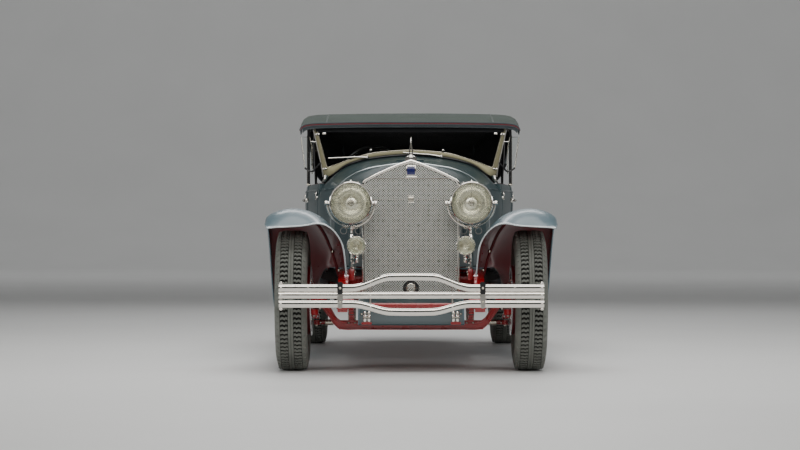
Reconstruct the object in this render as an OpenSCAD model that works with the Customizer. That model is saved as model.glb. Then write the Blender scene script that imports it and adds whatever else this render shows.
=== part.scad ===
// Open four-door touring car of the 1920s with its fabric top up.
// Millimetres, +Z up. The car faces -Y and +X is the car's left side.
// Inside the modules, Y is measured from the front axle (see car()).

/* [Size] */
// Distance between the two axles
wheelbase = 3683; // [3600:1:3760]
// Distance between the middle planes of the left and right tyres
track = 1412; // [1404:1:1420]
// Outside diameter of the tyres
tyre_diameter = 838; // [820:1:846]
// Width of the tyres
tyre_width = 190; // [180:1:196]

/* [Body] */
// Thickness of the body walls and doors
wall = 45; // [35:1:55]
// Gap all round each door
door_gap = 7; // [6:1:9]
// Thickness of the wings' steel
wing_thickness = 12; // [10:1:16]
// Thickness of the bonnet panels
bonnet_thickness = 10; // [8:1:12]

/* [Hidden] */

R = tyre_diameter / 2;
zc = R;
wx = track / 2;
ra = wheelbase;
fa_y = -1985;
kp = 585;
red = [0.62, 0.06, 0.07];
blue = [0.36, 0.45, 0.5];
chrome = [0.82, 0.82, 0.8];
black = [0.06, 0.06, 0.07];
iron = [0.3, 0.3, 0.31];
hide = [0.35, 0.07, 0.06];
cloth = [0.4, 0.45, 0.45];
tan = [0.45, 0.33, 0.2];
clear = [0.75, 0.85, 0.85, 0.4];
rubber = [0.13, 0.13, 0.13];

module car() translate([0, fa_y, 0]) children();
module both() { children(); mirror([1, 0, 0]) children(); }
// A plate drawn in (s, z) and thick along X from x0 to x1.
module slab(x0, x1) translate([x0, 0, 0]) rotate([90, 0, 90]) linear_extrude(x1 - x0) children();
// A plate drawn in (x, z) and thick along Y from s0 to s1.
module plate(s0, s1) translate([0, s1, 0]) rotate([90, 0, 0]) linear_extrude(s1 - s0) children();
module bx(x0, x1, s0, s1, z0, z1) translate([x0, s0, z0]) cube([x1 - x0, s1 - s0, z1 - z0]);
module rod(a, b, r) {
  d = b - a; l = norm(d);
  translate(a) rotate([0, acos(d[2] / l), atan2(d[1], d[0])]) cylinder(h = l, r = r, $fn = 32);
}
module ball(p, r) translate(p) sphere(r = r, $fn = 32);
module round_y(x, z, s0, s1, r) translate([x, s0, z]) rotate([-90, 0, 0]) cylinder(h = s1 - s0, r = r, $fn = 48);
module round_x(s, z, x0, x1, r) translate([x0, s, z]) rotate([0, 90, 0]) cylinder(h = x1 - x0, r = r, $fn = 64);

// Smooth reading of a table whose rows are [x, value, ...].
function sg(T, x, i = 0) = (i >= len(T) - 2 || x < T[i + 1][0]) ? i : sg(T, x, i + 1);
function dk(T, i, k) = i == 0 ? (T[1][k] - T[0][k]) / (T[1][0] - T[0][0])
  : i == len(T) - 1 ? (T[i][k] - T[i - 1][k]) / (T[i][0] - T[i - 1][0])
  : (T[i + 1][k] - T[i - 1][k]) / (T[i + 1][0] - T[i - 1][0]);
function tab(T, x, k = 1) = let (i = sg(T, x), h = T[i + 1][0] - T[i][0], t = min(1, max(0, (x - T[i][0]) / h)), a = t * t, b = a * t)
  (2 * b - 3 * a + 1) * T[i][k] + (b - 2 * a + t) * h * dk(T, i, k) + (3 * a - 2 * b) * T[i + 1][k] + (b - a) * h * dk(T, i + 1, k);
function mix(a, b, t) = a + (b - a) * t;
function ease(t) = let (u = min(1, max(0, t))) u * u * (3 - 2 * u);

// A sheet between an outer grid A and the same grid moved in by t.
function unit(v) = v / max(1e-6, norm(v));
function nrm(A, i, j) = let (m = len(A) - 1, n = len(A[0]) - 1)
  unit(cross(A[min(m, i + 1)][j] - A[max(0, i - 1)][j], A[i][min(n, j + 1)] - A[i][max(0, j - 1)]));
function moved(A, t) = [for (i = [0:len(A) - 1]) [for (j = [0:len(A[0]) - 1]) A[i][j] + t * nrm(A, i, j)]];
module sheet(A, B) {
  m = len(A); n = len(A[0]); o = m * n;
  P = concat([for (r = A) for (p = r) p], [for (r = B) for (p = r) p]);
  Q = concat(
    [for (i = [0:m - 2]) for (j = [0:n - 2]) [i * n + j, i * n + j + 1, (i + 1) * n + j + 1, (i + 1) * n + j]],
    [for (i = [0:m - 2]) for (j = [0:n - 2]) [o + i * n + j, o + (i + 1) * n + j, o + (i + 1) * n + j + 1, o + i * n + j + 1]],
    [for (i = [0:m - 2]) [i * n, (i + 1) * n, o + (i + 1) * n, o + i * n]],
    [for (i = [0:m - 2]) [(i + 1) * n + n - 1, i * n + n - 1, o + i * n + n - 1, o + (i + 1) * n + n - 1]],
    [for (j = [0:n - 2]) [j + 1, j, o + j, o + j + 1]],
    [for (j = [0:n - 2]) [(m - 1) * n + j, (m - 1) * n + j + 1, o + (m - 1) * n + j + 1, o + (m - 1) * n + j]]);
  F = [for (q = Q) each [[q[0], q[1], q[2]], [q[0], q[2], q[3]]]];
  v = [for (f = F) P[f[0]] * cross(P[f[1]], P[f[2]])];
  big = v * [for (x = v) 1];
  polyhedron(P, big < 0 ? F : [for (f = F) [f[2], f[1], f[0]]], convexity = 8);
}

// Half-width of the body at the belt, from the front posts to the tail.
W = [[1700, 603], [2000, 655], [2400, 705], [2700, 730], [3000, 745], [3300, 745]];
function hw(s, st = 4320, w = 745) = s < 3300 ? tab(W, s) * w / 745 : w * pow(max(0, 1 - pow(min(1, (s - 3300) / (st - 3300)), 2.5)), 1 / 2.2);
// Turn-in of the body side with height.
K = [[600, 0.93], [720, 0.957], [860, 0.985], [1000, 1], [1080, 1], [1150, 0.985]];
function tuck(z) = tab(K, z);
ZL = [600, 680, 780, 880, 980, 1070, 1150];
function side(s0, s1, z0, z1, n) = [for (i = [0:n]) [for (j = [0:6]) let (s = mix(s0, s1, i / n), z = mix(z0, z1, j / 6)) [hw(s) * tuck(z), s, z]]];
function sunk(G, t) = [for (r = G) [for (p = r) [p[0] - t, p[1], p[2]]]];

// ---------- chassis ----------
module rail() slab(370, 430) polygon([[-484, 375], [-488, 410], [-468, 440], [-300, 545], [-100, 590], [60, 600], [3160, 600],
  [3330, 650], [3500, 685], [3700, 695], [3880, 672], [4060, 597], [4380, 566], [4380, 500], [4100, 512], [3900, 560],
  [3700, 590], [3500, 578], [3330, 530], [3160, 470], [60, 470], [-100, 478], [-280, 450], [-400, 375], [-460, 362]]);
module frame() color(red) car() {
  both() rail();
  bx(-371, 371, 200, 260, 485, 560);
  both() bx(112, 371, 1330, 1390, 485, 560);
  for (s = [2460, 3120]) bx(-371, 371, s - 30, s + 30, 548, 596);
  bx(-371, 371, 3660, 3720, 610, 680);
  bx(-371, 371, 4330, 4380, 505, 560);
  both() for (s = [1120, 1780, 2460, 3040]) bx(429, 584, s - 20, s + 20, 480, 560);
}
module front_axle() color(red) car() {
  plate(-25, 25) polygon([[-560, 385], [-530, 385], [-470, 285], [-430, 242], [430, 242], [470, 285], [530, 385], [560, 385], [560, 455], [520, 452],
    [450, 322], [410, 290], [-410, 290], [-450, 322], [-520, 452], [-560, 455]]);
  both() translate([kp, 0, 370]) cylinder(h = 100, r = 28, $fn = 48);
}
module rear_axle() color(red) car() {
  round_x(ra, zc, -588, 588, 45);
  translate([0, ra, zc]) rotate([0, 90, 0]) rotate_extrude($fn = 64) polygon([[0, -108], [70, -104], [120, -78], [148, -30], [148, 30], [120, 78], [70, 104], [0, 108]]);
  rod([0, ra - 100, zc], [0, 1960, 520], 50);
}
function bow(s0, half, zm, ze, th, up, n = 12) = concat(
  [for (i = [-n:n]) let (t = i / n) [s0 + half * t, zm + (ze - zm) * t * t]],
  [for (i = [n:-1:-n]) let (t = i / n) [s0 + half * t, zm + (ze - zm) * t * t - 10 - (th - 10) * (1 - abs(t))]]);
module leaf_springs() color(red) car() both() {
  difference() {
    union() {
      slab(337, 369) polygon(bow(0, 470, 352, 425, 57, 1));
      slab(337, 369) polygon([[-60, 292], [60, 292], [60, 300], [-60, 300]]);
    }
  }
  slab(372, 428) polygon(bow(ra, 590, 362, 438, 56, 1));
}
module engine_block() color(iron) car() {
  bx(-150, 150, 330, 1240, 470, 1040);
  bx(-110, 110, 1239, 1340, 470, 560);
  bx(-110, 110, 1339, 1900, 440, 590);
}
module exhaust_system() color(iron) car() {
  rod([230, 700, 440], [230, 2300, 400], 28);
  ball([230, 700, 440], 31);
  rod([230, 700, 440], [190, 640, 640], 28);
  ball([190, 640, 640], 31);
  rod([190, 640, 640], [190, 640, 716], 28);
  bx(152, 200, 400, 1100, 700, 744);
  round_y(230, 400, 2299, 3000, 70);
  rod([230, 2999, 400], [230, 3300, 330], 24);
  ball([230, 3300, 330], 27);
  rod([230, 3300, 330], [230, 4380, 330], 24);
}
module fuel_tank() color(black) car() bx(-362, 362, 3960, 4320, 430, 598);

// ---------- front ----------
module shell_line(o) polygon([[-295 + o, 440 + o], [295 - o, 440 + o], [295 - o, 1112], [288 - o * 0.9, 1134 - o * 0.4], [277 - o * 0.6, 1146 - o * 0.8], [210, 1180 - o],
  [140, 1212 - o], [70, 1241 - o], [0, 1264 - o * 1.1], [-70, 1241 - o], [-140, 1212 - o], [-210, 1180 - o], [-277 + o * 0.6, 1146 - o * 0.8], [-288 + o * 0.9, 1134 - o * 0.4], [-295 + o, 1112]]);
module radiator_shell() color(chrome) car() {
  difference() {
    plate(20, 175) shell_line(0);
    plate(10, 185) shell_line(18);
  }
  translate([0, 90, 1243]) cylinder(h = 37, r = 33, $fn = 48);
  translate([0, 90, 1279]) cylinder(h = 12, r = 20, $fn = 32);
  translate([0, 90, 1290]) rotate_extrude($fn = 32) polygon([[0, 0], [12, 0], [9, 20], [5, 50], [3, 100], [0, 112]]);
}
module radiator_core() color(iron) car() plate(60, 165) shell_line(26);
module radiator_grille() color(chrome) car() difference() {
  plate(26, 34) shell_line(20);
  round_y(0, 491, 0, 60, 46);
}
module front_apron() color(blue) car() {
  slab(-311, 311) polygon([[16, 440], [-60, 434], [-140, 410], [-220, 366], [-280, 310], [-302, 283], [-292, 281], [-272, 302], [-214, 356], [-136, 399], [-60, 423], [16, 429]]);
}
function bf(t) = [[26, 1257 + 15.5 * t], [mix(70, 90, t), mix(1239, 1272, t)], [mix(140, 180, t), mix(1211, 1260, t)], [mix(208, 262, t), mix(1181, 1246, t)],
  [mix(262, 347, t), mix(1152, 1217, t)], [mix(284, 420, t), mix(1136, 1173, t)], [mix(292, 462, t), mix(1116, 1132, t)]];
function bs(t) = [[mix(294, 470, t), mix(1108, 1122, t)], [mix(295, 500, t), mix(1000, 1050, t)], [mix(295, 513, t), mix(900, 950, t)],
  [mix(296, 514, t), mix(780, 800, t)], [mix(297, 508, t), 616]];
module lid() {
  A = [for (i = [0:6]) let (t = i / 6) [for (p = bf(t)) [p[0], mix(181, 1325, t), p[1]]]];
  B = [for (i = [0:6]) let (t = i / 6, L = bf(t)) [for (j = [0:6]) let (d = unit([L[min(6, j + 1)][1] - L[max(0, j - 1)][1], L[max(0, j - 1)][0] - L[min(6, j + 1)][0]]))
    [j == 0 ? 22 : L[j][0] + bonnet_thickness * d[0], mix(181, 1325, t), L[j][1] + bonnet_thickness * d[1]]]];
  sheet(A, B);
}
module bonnet_top_left() color(blue) car() lid();
module bonnet_top_right() color(blue) car() mirror([1, 0, 0]) lid();
module bonnet_sides() color(blue) car() both() {
  A = [for (i = [0:6]) let (t = i / 6) [for (p = bs(t)) [p[0], mix(181, 1325, t), p[1]]]];
  sheet(A, sunk(A, bonnet_thickness));
}
module bonnet_hinge() color(chrome) car() round_y(0, 1258, 176, 1330, 7);

// ---------- cowl and body ----------
function cw(t) = let (A = [[0, 1279], [90, 1274], [180, 1261], [262, 1247], [347, 1217], [420, 1174], [462, 1134], [500, 1070], [515, 950], [515, 800], [505, 600]],
  B = [[0, 1337], [133, 1330], [267, 1313], [370, 1288], [440, 1259], [505, 1210], [555, 1160], [597, 1110], [612, 1000], [601, 800], [568, 600]])
  [for (k = [0:10]) mix(A[k], B[k], t)];
function full(L) = concat([for (k = [10:-1:1]) [-L[k][0], L[k][1]]], L);
module cowl() color(blue) car() {
  A = [for (i = [0:5]) let (t = i / 5, L = full(cw(ease(t) * 0.35 + t * 0.65))) [for (p = L) [p[0], mix(1331, 1740, t), p[1]]]];
  B = [for (i = [0:5]) [for (j = [0:20]) let (p = A[i][j], a = A[i][max(0, j - 1)], b = A[i][min(20, j + 1)], d = unit([b[2] - a[2], a[0] - b[0]]))
    [p[0] + 24 * d[0] * (j == 0 || j == 20 ? 1 : 1), p[1], j == 0 || j == 20 ? 600 : p[2] + 24 * d[1]]]];
  sheet(A, B);
  difference() {
    plate(1332, 1350) polygon([for (p = full(cw(0))) [p[0] * 0.98, mix(600, p[1], 0.985)]]);
    rod([-245, 1050, 600], [-245, 2150, 1230], 34);
  }
}
module tub_shell() {
  n = 22;
  S = [for (k = [0:n]) let (u = k / n) 1740 + 2580 * (1 - pow(1 - u, 2.0))];
  function pt(s, z, g) = let (k = tuck(z), k2 = mix(1, k, 0.5), w = hw(min(s, 4320))) [g * w * k, s < 3300 ? s : 3300 + (s - 3300) * k2, z];
  A = [for (j = [0:6]) concat([for (k = [0:n]) pt(S[k], ZL[j], 1)], [for (k = [n - 1:-1:0]) pt(S[k], ZL[j], -1)])];
  m = 2 * n;
  B = [for (j = [0:6]) [for (k = [0:m]) let (p = A[j][k], a = A[j][max(0, k - 1)], b = A[j][min(m, k + 1)], d = unit([b[1] - a[1], a[0] - b[0]]))
    [p[0] - wall * (k == 0 ? 1 : k == m ? -1 : d[0]), k == 0 || k == m ? p[1] : p[1] - wall * d[1], p[2]]]];
  sheet(A, B);
}
module body_tub() color(blue) car() {
  difference() {
    tub_shell();
    for (g = [-1, 1]) {
      bx(g > 0 ? 500 : -900, g > 0 ? 900 : -500, 1790, 2427, 643, 1200);
      bx(g > 0 ? 500 : -900, g > 0 ? 900 : -500, 2493, 3147, 643, 1200);
      round_x(ra, zc, g > 0 ? 580 : -900, g > 0 ? 900 : -580, 480);
    }
  }
  both() difference() {
    round_x(ra, zc, 562, 690, 500);
    round_x(ra, zc, 580, 700, 480);
    bx(500, 800, 3000, 4300, -100, 604);
    bx(500, 800, 3950, 4300, 0, 1000);
  }
  both() { barrels(628.5, 1785, 585, -1, false); barrels(755, 3152, 700, 1, false); }
}
module floor_boards() color(tan) car() {
  translate([0, 0, 601]) linear_extrude(18) polygon([[-470, 1352], [-500, 1700], [-520, 1800], [-585, 2400], [-625, 3130], [625, 3130], [585, 2400], [520, 1800], [500, 1700], [470, 1352]]);
  bx(-555, 555, 3112, 3130, 618, 716);
  translate([0, 0, 698]) linear_extrude(18) polygon([[-555, 3112], [-555, 3700], [-500, 3960], [-300, 4160], [300, 4160], [500, 3960], [555, 3700], [555, 3112]]);
}
module front_seat() color(hide) car() {
  bx(-570, 570, 2160, 2600, 619, 720);
  bx(-585, 585, 2130, 2610, 719, 830);
  round_x(2170, 800, -585, 585, 52);
  translate([0, 2590, 800]) rotate([-8, 0, 0]) translate([-600, -20, 0]) cube([1200, 95, 300]);
  round_x(2660, 1092, -596, 596, 42);
}
module rear_seat() color(hide) car() {
  bx(-545, 545, 3190, 3720, 717, 860);
  round_x(3228, 840, -545, 545, 52);
  translate([0, 3720, 830]) rotate([-8, 0, 0]) translate([-548, -20, 0]) cube([1096, 110, 270]);
  round_x(3808, 1092, -545, 545, 46);
}
module dashboard() color(tan) car() plate(1700, 1722) polygon([[-552, 1020], [552, 1020], [560, 1080], [522, 1130], [460, 1186], [380, 1232], [240, 1270], [0, 1292],
  [-240, 1270], [-380, 1232], [-460, 1186], [-522, 1130], [-560, 1080]]);
module steering_column() color(black) car() {
  rod([-245, 1050, 600], [-245, 2085, 600 + 1035 * 630 / 1100], 21);
  bx(-300, -190, 980, 1110, 540, 660);
  bx(-369, -298, 1010, 1080, 545, 598);
}

// ---------- windscreen and top ----------
module screen_out() polygon([[-540, 1200], [-505, 1222], [-440, 1272], [-370, 1300], [-267, 1325], [-133, 1342], [0, 1349], [133, 1342], [267, 1325], [370, 1300], [440, 1272], [505, 1222], [540, 1200],
  [575, 1215], [640, 1505], [640, 1524], [-640, 1524], [-640, 1505], [-575, 1215]]);
module screen_in(o = 0) polygon([[-545 - o, 1262 - o], [-469, 1291 - o], [-402, 1314 - o], [-268, 1355 - o], [-134, 1371 - o], [0, 1378 - o], [134, 1371 - o], [268, 1355 - o], [402, 1314 - o], [469, 1291 - o], [545 + o, 1262 - o],
  [601 + o, 1496 + o], [-601 - o, 1496 + o]]);
module windshield_frame() color([0.55, 0.54, 0.46]) car() {
  difference() { plate(1700, 1728) screen_out(); plate(1690, 1740) screen_in(); }
  both() rod([552, 1716, 1215], [561, 1718, 1188], 14);
}
module window_glass() color(clear) car() {
  plate(1711, 1717) screen_in(-1.5);
  both() translate([0, 0, 0]) plate(1716, 1722) polygon([[652, 1215], [700, 1250], [728, 1462], [668, 1462], [655, 1400]]);
}
ZR = [[1640, 1562], [2000, 1620], [2300, 1648], [2500, 1657], [3000, 1668], [3500, 1655], [3800, 1618], [3950, 1575], [4080, 1500], [4170, 1410], [4230, 1310], [4265, 1225], [4280, 1185]];
ZB = [[1640, 1478], [1900, 1530], [2700, 1560], [2900, 1548], [3000, 1512], [3300, 1408], [3600, 1300], [3850, 1200], [3950, 1166], [4280, 1162]];
HT = [[1640, 731], [3000, 731], [3300, 724], [3500, 712]];
ST = [1640, 1800, 2000, 2300, 2600, 2850, 3000, 3150, 3300, 3500, 3700, 3850, 3950, 4050, 4120, 4180, 4225, 4255, 4274, 4282];
function top_hw(s) = s < 3500 ? tab(HT, s) : hw(s, 4288, 736);
function top_row(s) = let (w = top_hw(s), t = tab(ZR, min(s, 4280)), b = min(tab(ZB, s), t - 12), k = min(1, (t - b) / 95),
  e = t - 57 * k, H = [[w * 0.992, b], [w, mix(b, e, 0.33)], [w, mix(b, e, 0.66)], [w, e], [w * 0.985, t - 34 * k], [w * 0.94, t - 18 * k], [w * 0.83, t - 8 * k], [w * 0.55, t - 3 * k], [0, t]])
  concat([for (p = H) [p[0], s, p[1]]], [for (i = [7:-1:0]) [-H[i][0], s, H[i][1]]]);
module folding_top() color(cloth) car() difference() {
  G = [for (s = ST) top_row(s)];
  sheet(G, moved(G, nrm(G, 2, 8)[2] > 0 ? -12 : 12));
  bx(-294, 294, 3990, 4400, 1330, 1440);
}
module top_bows() color(black) car() {
  plate(2440, 2460) polygon([[-712, 1152], [-712, 1560], [-690, 1590], [-640, 1608], [-400, 1624], [0, 1632], [400, 1624], [640, 1608], [690, 1590], [712, 1560], [712, 1152],
    [692, 1152], [692, 1552], [676, 1572], [630, 1586], [400, 1602], [0, 1610], [-400, 1602], [-630, 1586], [-676, 1572], [-692, 1552], [-692, 1152]]);
  for (s = [3000, 3500]) plate(s - 12, s + 12) polygon([[-690, s > 3100 ? 1420 : 1545], [-690, 1580], [-630, 1608], [-400, 1628], [0, 1636], [400, 1628], [630, 1608], [690, 1580], [690, s > 3100 ? 1420 : 1545],
    [672, s > 3100 ? 1420 : 1545], [672, 1566], [620, 1588], [400, 1606], [0, 1614], [-400, 1606], [-620, 1588], [-672, 1566], [-672, s > 3100 ? 1420 : 1545]]);
  both() {
    rod([677, 3340, 1166], [682, 3000, 1550], 8);
    rod([677, 3340, 1166], [680, 3500, 1430], 8);
    rod([683, 3000, 1556], [700, 2455, 1540], 9);
    round_x(3340, 1165, 668, 686, 24);
    round_x(3340, 1140, 668, 686, 16);
  }
}

// ---------- wings and boards ----------
CR = [[0, 969], [100, 962], [200, 938], [300, 896], [400, 838], [500, 765], [600, 685], [700, 605], [800, 535], [900, 478], [1000, 437], [1080, 418]];
XF = [873, 866, 816, 726, 636, 558, 498, 452, 425, 400];
XR = [873, 869, 838, 760, 690, 630, 598, 590, 588, 586];
DF = [-89, -54, -21, 0, -9, -39];
DR = [-75, -34, -8, 0, 0, 0];
GF = [0, 0, 0, 0, 0, 0, 0.15, 0.35, 0.65, 1];
LX = [848, 812, 756, 690, 622, 560, 505, 446, 400, 376];
LZ = [854, 858, 861, 864, 870, 881, 874, 831, 750, 572];
function wing_pt(s, j) = let (v = s < 0 ? s * s / 119025 : 0, w = ease(s / 1000), c = tab(CR, max(0, s)),
  x = mix(XF[j], XR[j], j < 6 ? w : mix(w, ease((s - 250) / 750), min(1, (j - 5) / 2))), z5 = c + mix(DF[5], DR[5], w), z = j < 6 ? c + mix(DF[j], DR[j], w) : mix(z5, 612, GF[j]))
  [mix(x, LX[j], v), s, mix(z, LZ[j], v)];
WS = [-345, -310, -260, -190, -100, 0, 100, 200, 300, 400, 500, 600, 700, 800, 900, 1000, 1078];
module front_fenders() color(blue) car() both() {
  G = [for (s = WS) [for (j = [0:9]) wing_pt(s, j)]];
  sheet(G, moved(G, nrm(G, 5, 3)[2] > 0 ? -wing_thickness : wing_thickness));
}
RP = [[3062, 425], [3095, 500], [3150, 600], [3205, 712], [3300, 842], [3440, 938], [3600, 976], [3720, 978], [3860, 952], [4000, 890], [4120, 792], [4200, 672], [4248, 540], [4272, 430]];
RX = [600, 640, 700, 765, 822, 858, 871, 873];
RD = [16, 5, 0, 3, 18, 44, 74, 100];
module rear_fenders() color(blue) car() both() {
  G = [for (i = [0:13]) let (s = RP[i][0], z = RP[i][1], d = unit([ra - s, zc - z]), e = i < 8 ? 0 : (i - 8) / 5)
    [for (j = [0:7]) let (q = RD[j] * (i < 2 ? 0.6 : 1), y = s + d[0] * q, h = z + d[1] * q, x0 = max(i < 2 ? 640 : i < 3 ? 704 : 600 - 40 * e, h < 590 ? 0 : hw(y) * tuck(h) + 7))
      [mix(x0, 873, (RX[j] - 600) / 273), y, h]]];
  sheet(G, moved(G, nrm(G, 6, 3)[2] > 0 ? -wing_thickness : wing_thickness));
}
module running_boards() color(blue) car() both() {
  bx(592, 868, 1081, 3064, 376, 415);
  bx(586, 598, 1081, 3064, 376, 598);
}

module engine_shelves() color(blue) car() both()
  translate([0, 0, 601]) linear_extrude(8) polygon([[284, 182], [484, 1326], [572, 1326], [572, 1070], [520, 950], [490, 850], [452, 700], [432, 560], [418, 400], [404, 250], [396, 182]]);

// ---------- lamps and bumper ----------
module bowl(x, s, z, r, d) translate([x, s, z]) rotate([-90, 0, 0]) rotate_extrude($fn = 64)
  polygon([[0, 0], [r * 0.35, -d * 0.03], [r * 0.65, -d * 0.14], [r * 0.86, -d * 0.35], [r * 0.95, -d * 0.6], [r, -d * 0.86], [r, -d], [r * 0.91, -d], [r * 0.9, -d * 0.86], [r * 0.7, -d * 0.5], [0, -d * 0.38]]);
module headlamps() color(chrome) car() both() bowl(358, 0, 1000, 127.5, 215);
module driving_lamps() color(chrome) car() both() bowl(325, -105, 747, 57.5, 85);
module lamp_lenses() color(clear) car() both() {
  round_y(358, 1000, -207, -201, 114);
  round_y(325, 747, -187, -182, 50);
}
module lamp_brackets() color(chrome) car() both() {
  translate([358, -100, 560]) cylinder(h = 292, r = 11.5, $fn = 32);
  bx(336, 369, -128, -72, 540, 610);
  translate([358, -100, 1000]) rotate([90, 180, 0]) rotate_extrude(angle = 180, $fn = 64) translate([146, 0]) circle(r = 9, $fn = 20);
  translate([0, -100, 1000]) { rod([495, 0, 0], [515, 0, 0], 15); rod([201, 0, 0], [221, 0, 0], 15); }
  rod([358, -100, 690], [325, -140, 678], 11);
  rod([325, -140, 678], [325, -140, 692], 9);
}
function bar(a, b, h) = concat([for (x = [-766, -345, -300, -240, -173, 0, 173, 240, 300, 345, 766]) let (t = ease((345 - abs(x)) / 172)) [x, mix(a, b, t) + h]],
  [for (x = [766, 345, 300, 240, 173, 0, -173, -240, -300, -345, -766]) let (t = ease((345 - abs(x)) / 172)) [x, mix(a, b, t) - h]]);
module front_bumper() color(chrome) car() {
  plate(-610, -600) polygon(bar(505, 566, 21));
  plate(-610, -600) polygon(bar(463, 463, 19));
  plate(-610, -600) polygon(bar(413, 370, 21));
  both() {
    bx(735, 765, -601, -592, 395, 525);
    bx(385, 437, -601, -588, 390, 530);
    bx(222, 248, -601, -594, 400, 540);
    bx(431, 445, -589, -440, 425, 468);
  }
}
module tail_lamps() color(chrome) car() both() {
  bx(431, 640, 4362, 4378, 520, 552);
  round_y(610, 580, 4377, 4440, 44);
}
module plate_bracket() color(black) car() difference() {
  union() { bx(-655, -355, 4424, 4432, 396, 500); bx(-428, -402, 4381, 4432, 506, 520); bx(-428, -402, 4424, 4432, 490, 520); }
  for (x = [-625, -385]) for (z = [416, 472]) round_y(x, z, 4400, 4450, 4);
}

// ---------- doors ----------
// Three barrels on a door's hinge line, with a leaf back to the panel.
module barrels(x, s, face, dir, up) for (z = [730, 900, 1070]) translate([0, 0, up ? z + 2 : z - 26]) {
  translate([x, s, 0]) cylinder(h = 24, r = 6.5, $fn = 32);
  bx(x - 8, x, min(s + dir * 2, s + dir * 26), max(s + dir * 2, s + dir * 26), 2, 22);
  bx(face, x - 7, min(s + dir * 14, s + dir * 26), max(s + dir * 14, s + dir * 26), 2, 22);
}
module door_panel(s0, s1, grip) {
  A = side(s0, s1, 650, 1150, 5);
  sheet(A, sunk(A, wall));
  rod([hw(grip) - 10, grip, 1050], [hw(grip) + 26, grip, 1050], 7);
  rod([hw(grip) + 26, grip - 70, 1050], [hw(grip) + 26, grip + 14, 1050], 9);
}
module front_panel() { door_panel(1797, 2420, 2370); barrels(628.5, 1785, 585, 1, true); }
module door_front_left() color(blue) car() front_panel();
module door_front_right() color(blue) car() mirror([1, 0, 0]) front_panel();
module rear_panel() {
  A = side(2500, 3140, 650, 1150, 5);
  sheet(A, sunk(A, wall));
  rod([hw(2550) - 10, 2550, 1050], [hw(2550) + 26, 2550, 1050], 7);
  rod([hw(2550) + 26, 2536, 1050], [hw(2550) + 26, 2620, 1050], 9);
  barrels(755, 3152, 700, -1, true);
}
module door_rear_left() color(blue) car() rear_panel();
module door_rear_right() color(blue) car() mirror([1, 0, 0]) rear_panel();

// ---------- steering and wheels ----------
module knuckle() color(red) {
  translate([kp, 0, 475]) cylinder(h = 30, r = 30, $fn = 40);
  translate([kp, 0, 333]) cylinder(h = 32, r = 30, $fn = 40);
  bx(kp, kp + 62, -28, 28, 475, 505);
  bx(kp, kp + 62, -28, 28, 333, 365);
  bx(kp + 42, kp + 62, -28, 28, 333, 505);
  round_x(0, zc, kp + 60, kp + 78, 22);
  difference() { round_x(0, zc, 598, 604, 195); round_x(0, zc, 590, 610, 80); }
  bx(kp - 20, kp + 5, 0, 50, 312, 340);
  rod([kp - 8, 40, 322], [kp - 13, 190, 316], 13);
  translate([kp - 13, 190, 301]) cylinder(h = 28, r = 18, $fn = 32);
}
module knuckle_left() car() knuckle();
module knuckle_right() car() mirror([1, 0, 0]) knuckle();
module tie_rod() color(red) car() {
  rod([-(kp - 13), 190, 280], [kp - 13, 190, 280], 13);
  both() translate([kp - 13, 190, 266]) cylinder(h = 28, r = 20, $fn = 32);
}
module steering_wheel() color(black) car() translate([-245, 2150, 1230]) rotate([atan2(1100, 630) * -1, 0, 0]) {
  rotate_extrude($fn = 64) translate([203, 0]) circle(r = 12, $fn = 20);
  translate([0, 0, -40]) cylinder(h = 55, r = 32, $fn = 32);
  for (a = [45, 135, 225, 315]) rotate([0, 0, a]) rod([20, 0, -12], [202, 0, 0], 7);
}
module wheel() rotate([0, 90, 0]) {
  color(red) rotate_extrude($fn = 96) polygon([[238, -44], [258, -60], [267, -60], [267, 60], [258, 60], [238, 44]]);
  color(red) translate([0, 0, -34]) cylinder(h = 110, r = 52, $fn = 48);
  color(chrome) translate([0, 0, 75]) cylinder(h = 34, r = 40, $fn = 8);
  for (a = [0:30:330]) rotate([0, 0, a]) rod([45, 0, a % 60 == 0 ? 50 : -20], [246, 0, a % 60 == 0 ? 14 : -14], 6);
  rotate_extrude($fn = 96) polygon([[0, -34], [40, -34], [200, -34], [200, -111], [210, -111], [210, -26], [0, -26]]);
}
module tyre() rotate([0, 90, 0]) { h = tyre_width / 2;
  rotate_extrude($fn = 120) polygon([[267.5, -60], [290, -h * 0.85], [335, -h], [375, -h * 0.97], [404, -h * 0.84], [R - 5, -h * 0.7], [R, -h * 0.55],
    [R, h * 0.55], [R - 5, h * 0.7], [404, h * 0.84], [375, h * 0.97], [335, h], [290, h * 0.85], [267.5, 60]]);
}
module wheel_front_left() color(red) car() translate([wx, 0, zc]) wheel();
module wheel_front_right() color(red) car() mirror([1, 0, 0]) translate([wx, 0, zc]) wheel();
module wheel_rear_left() color(red) car() translate([wx, ra, zc]) wheel();
module wheel_rear_right() color(red) car() mirror([1, 0, 0]) translate([wx, ra, zc]) wheel();
module tyre_front_left() color(rubber) car() translate([wx, 0, zc]) tyre();
module tyre_front_right() color(rubber) car() translate([-wx, 0, zc]) tyre();
module tyre_rear_left() color(rubber) car() translate([wx, ra, zc]) tyre();
module tyre_rear_right() color(rubber) car() translate([-wx, ra, zc]) tyre();
module spare_wheel() color(red) car() {
  bx(-40, 40, 4335, 4365, 561, 860);
  round_y(0, 820, 4340, 4410, 60);
  translate([0, 4484, 820]) rotate([0, 0, 90]) rotate([0, 90, 0]) spare_rim();
}
module spare_rim() {
  rotate_extrude($fn = 96) polygon([[238, -44], [258, -60], [267, -60], [267, 60], [258, 60], [238, 44]]);
  translate([0, 0, -82]) cylinder(h = 150, r = 52, $fn = 48);
  for (a = [0:30:330]) rotate([0, 0, a]) rod([45, 0, a % 60 == 0 ? 40 : -30], [246, 0, a % 60 == 0 ? 14 : -14], 6);
}
module spare_tyre() color(rubber) car() translate([0, 4484, 820]) rotate([0, 0, 90]) tyre();

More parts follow.
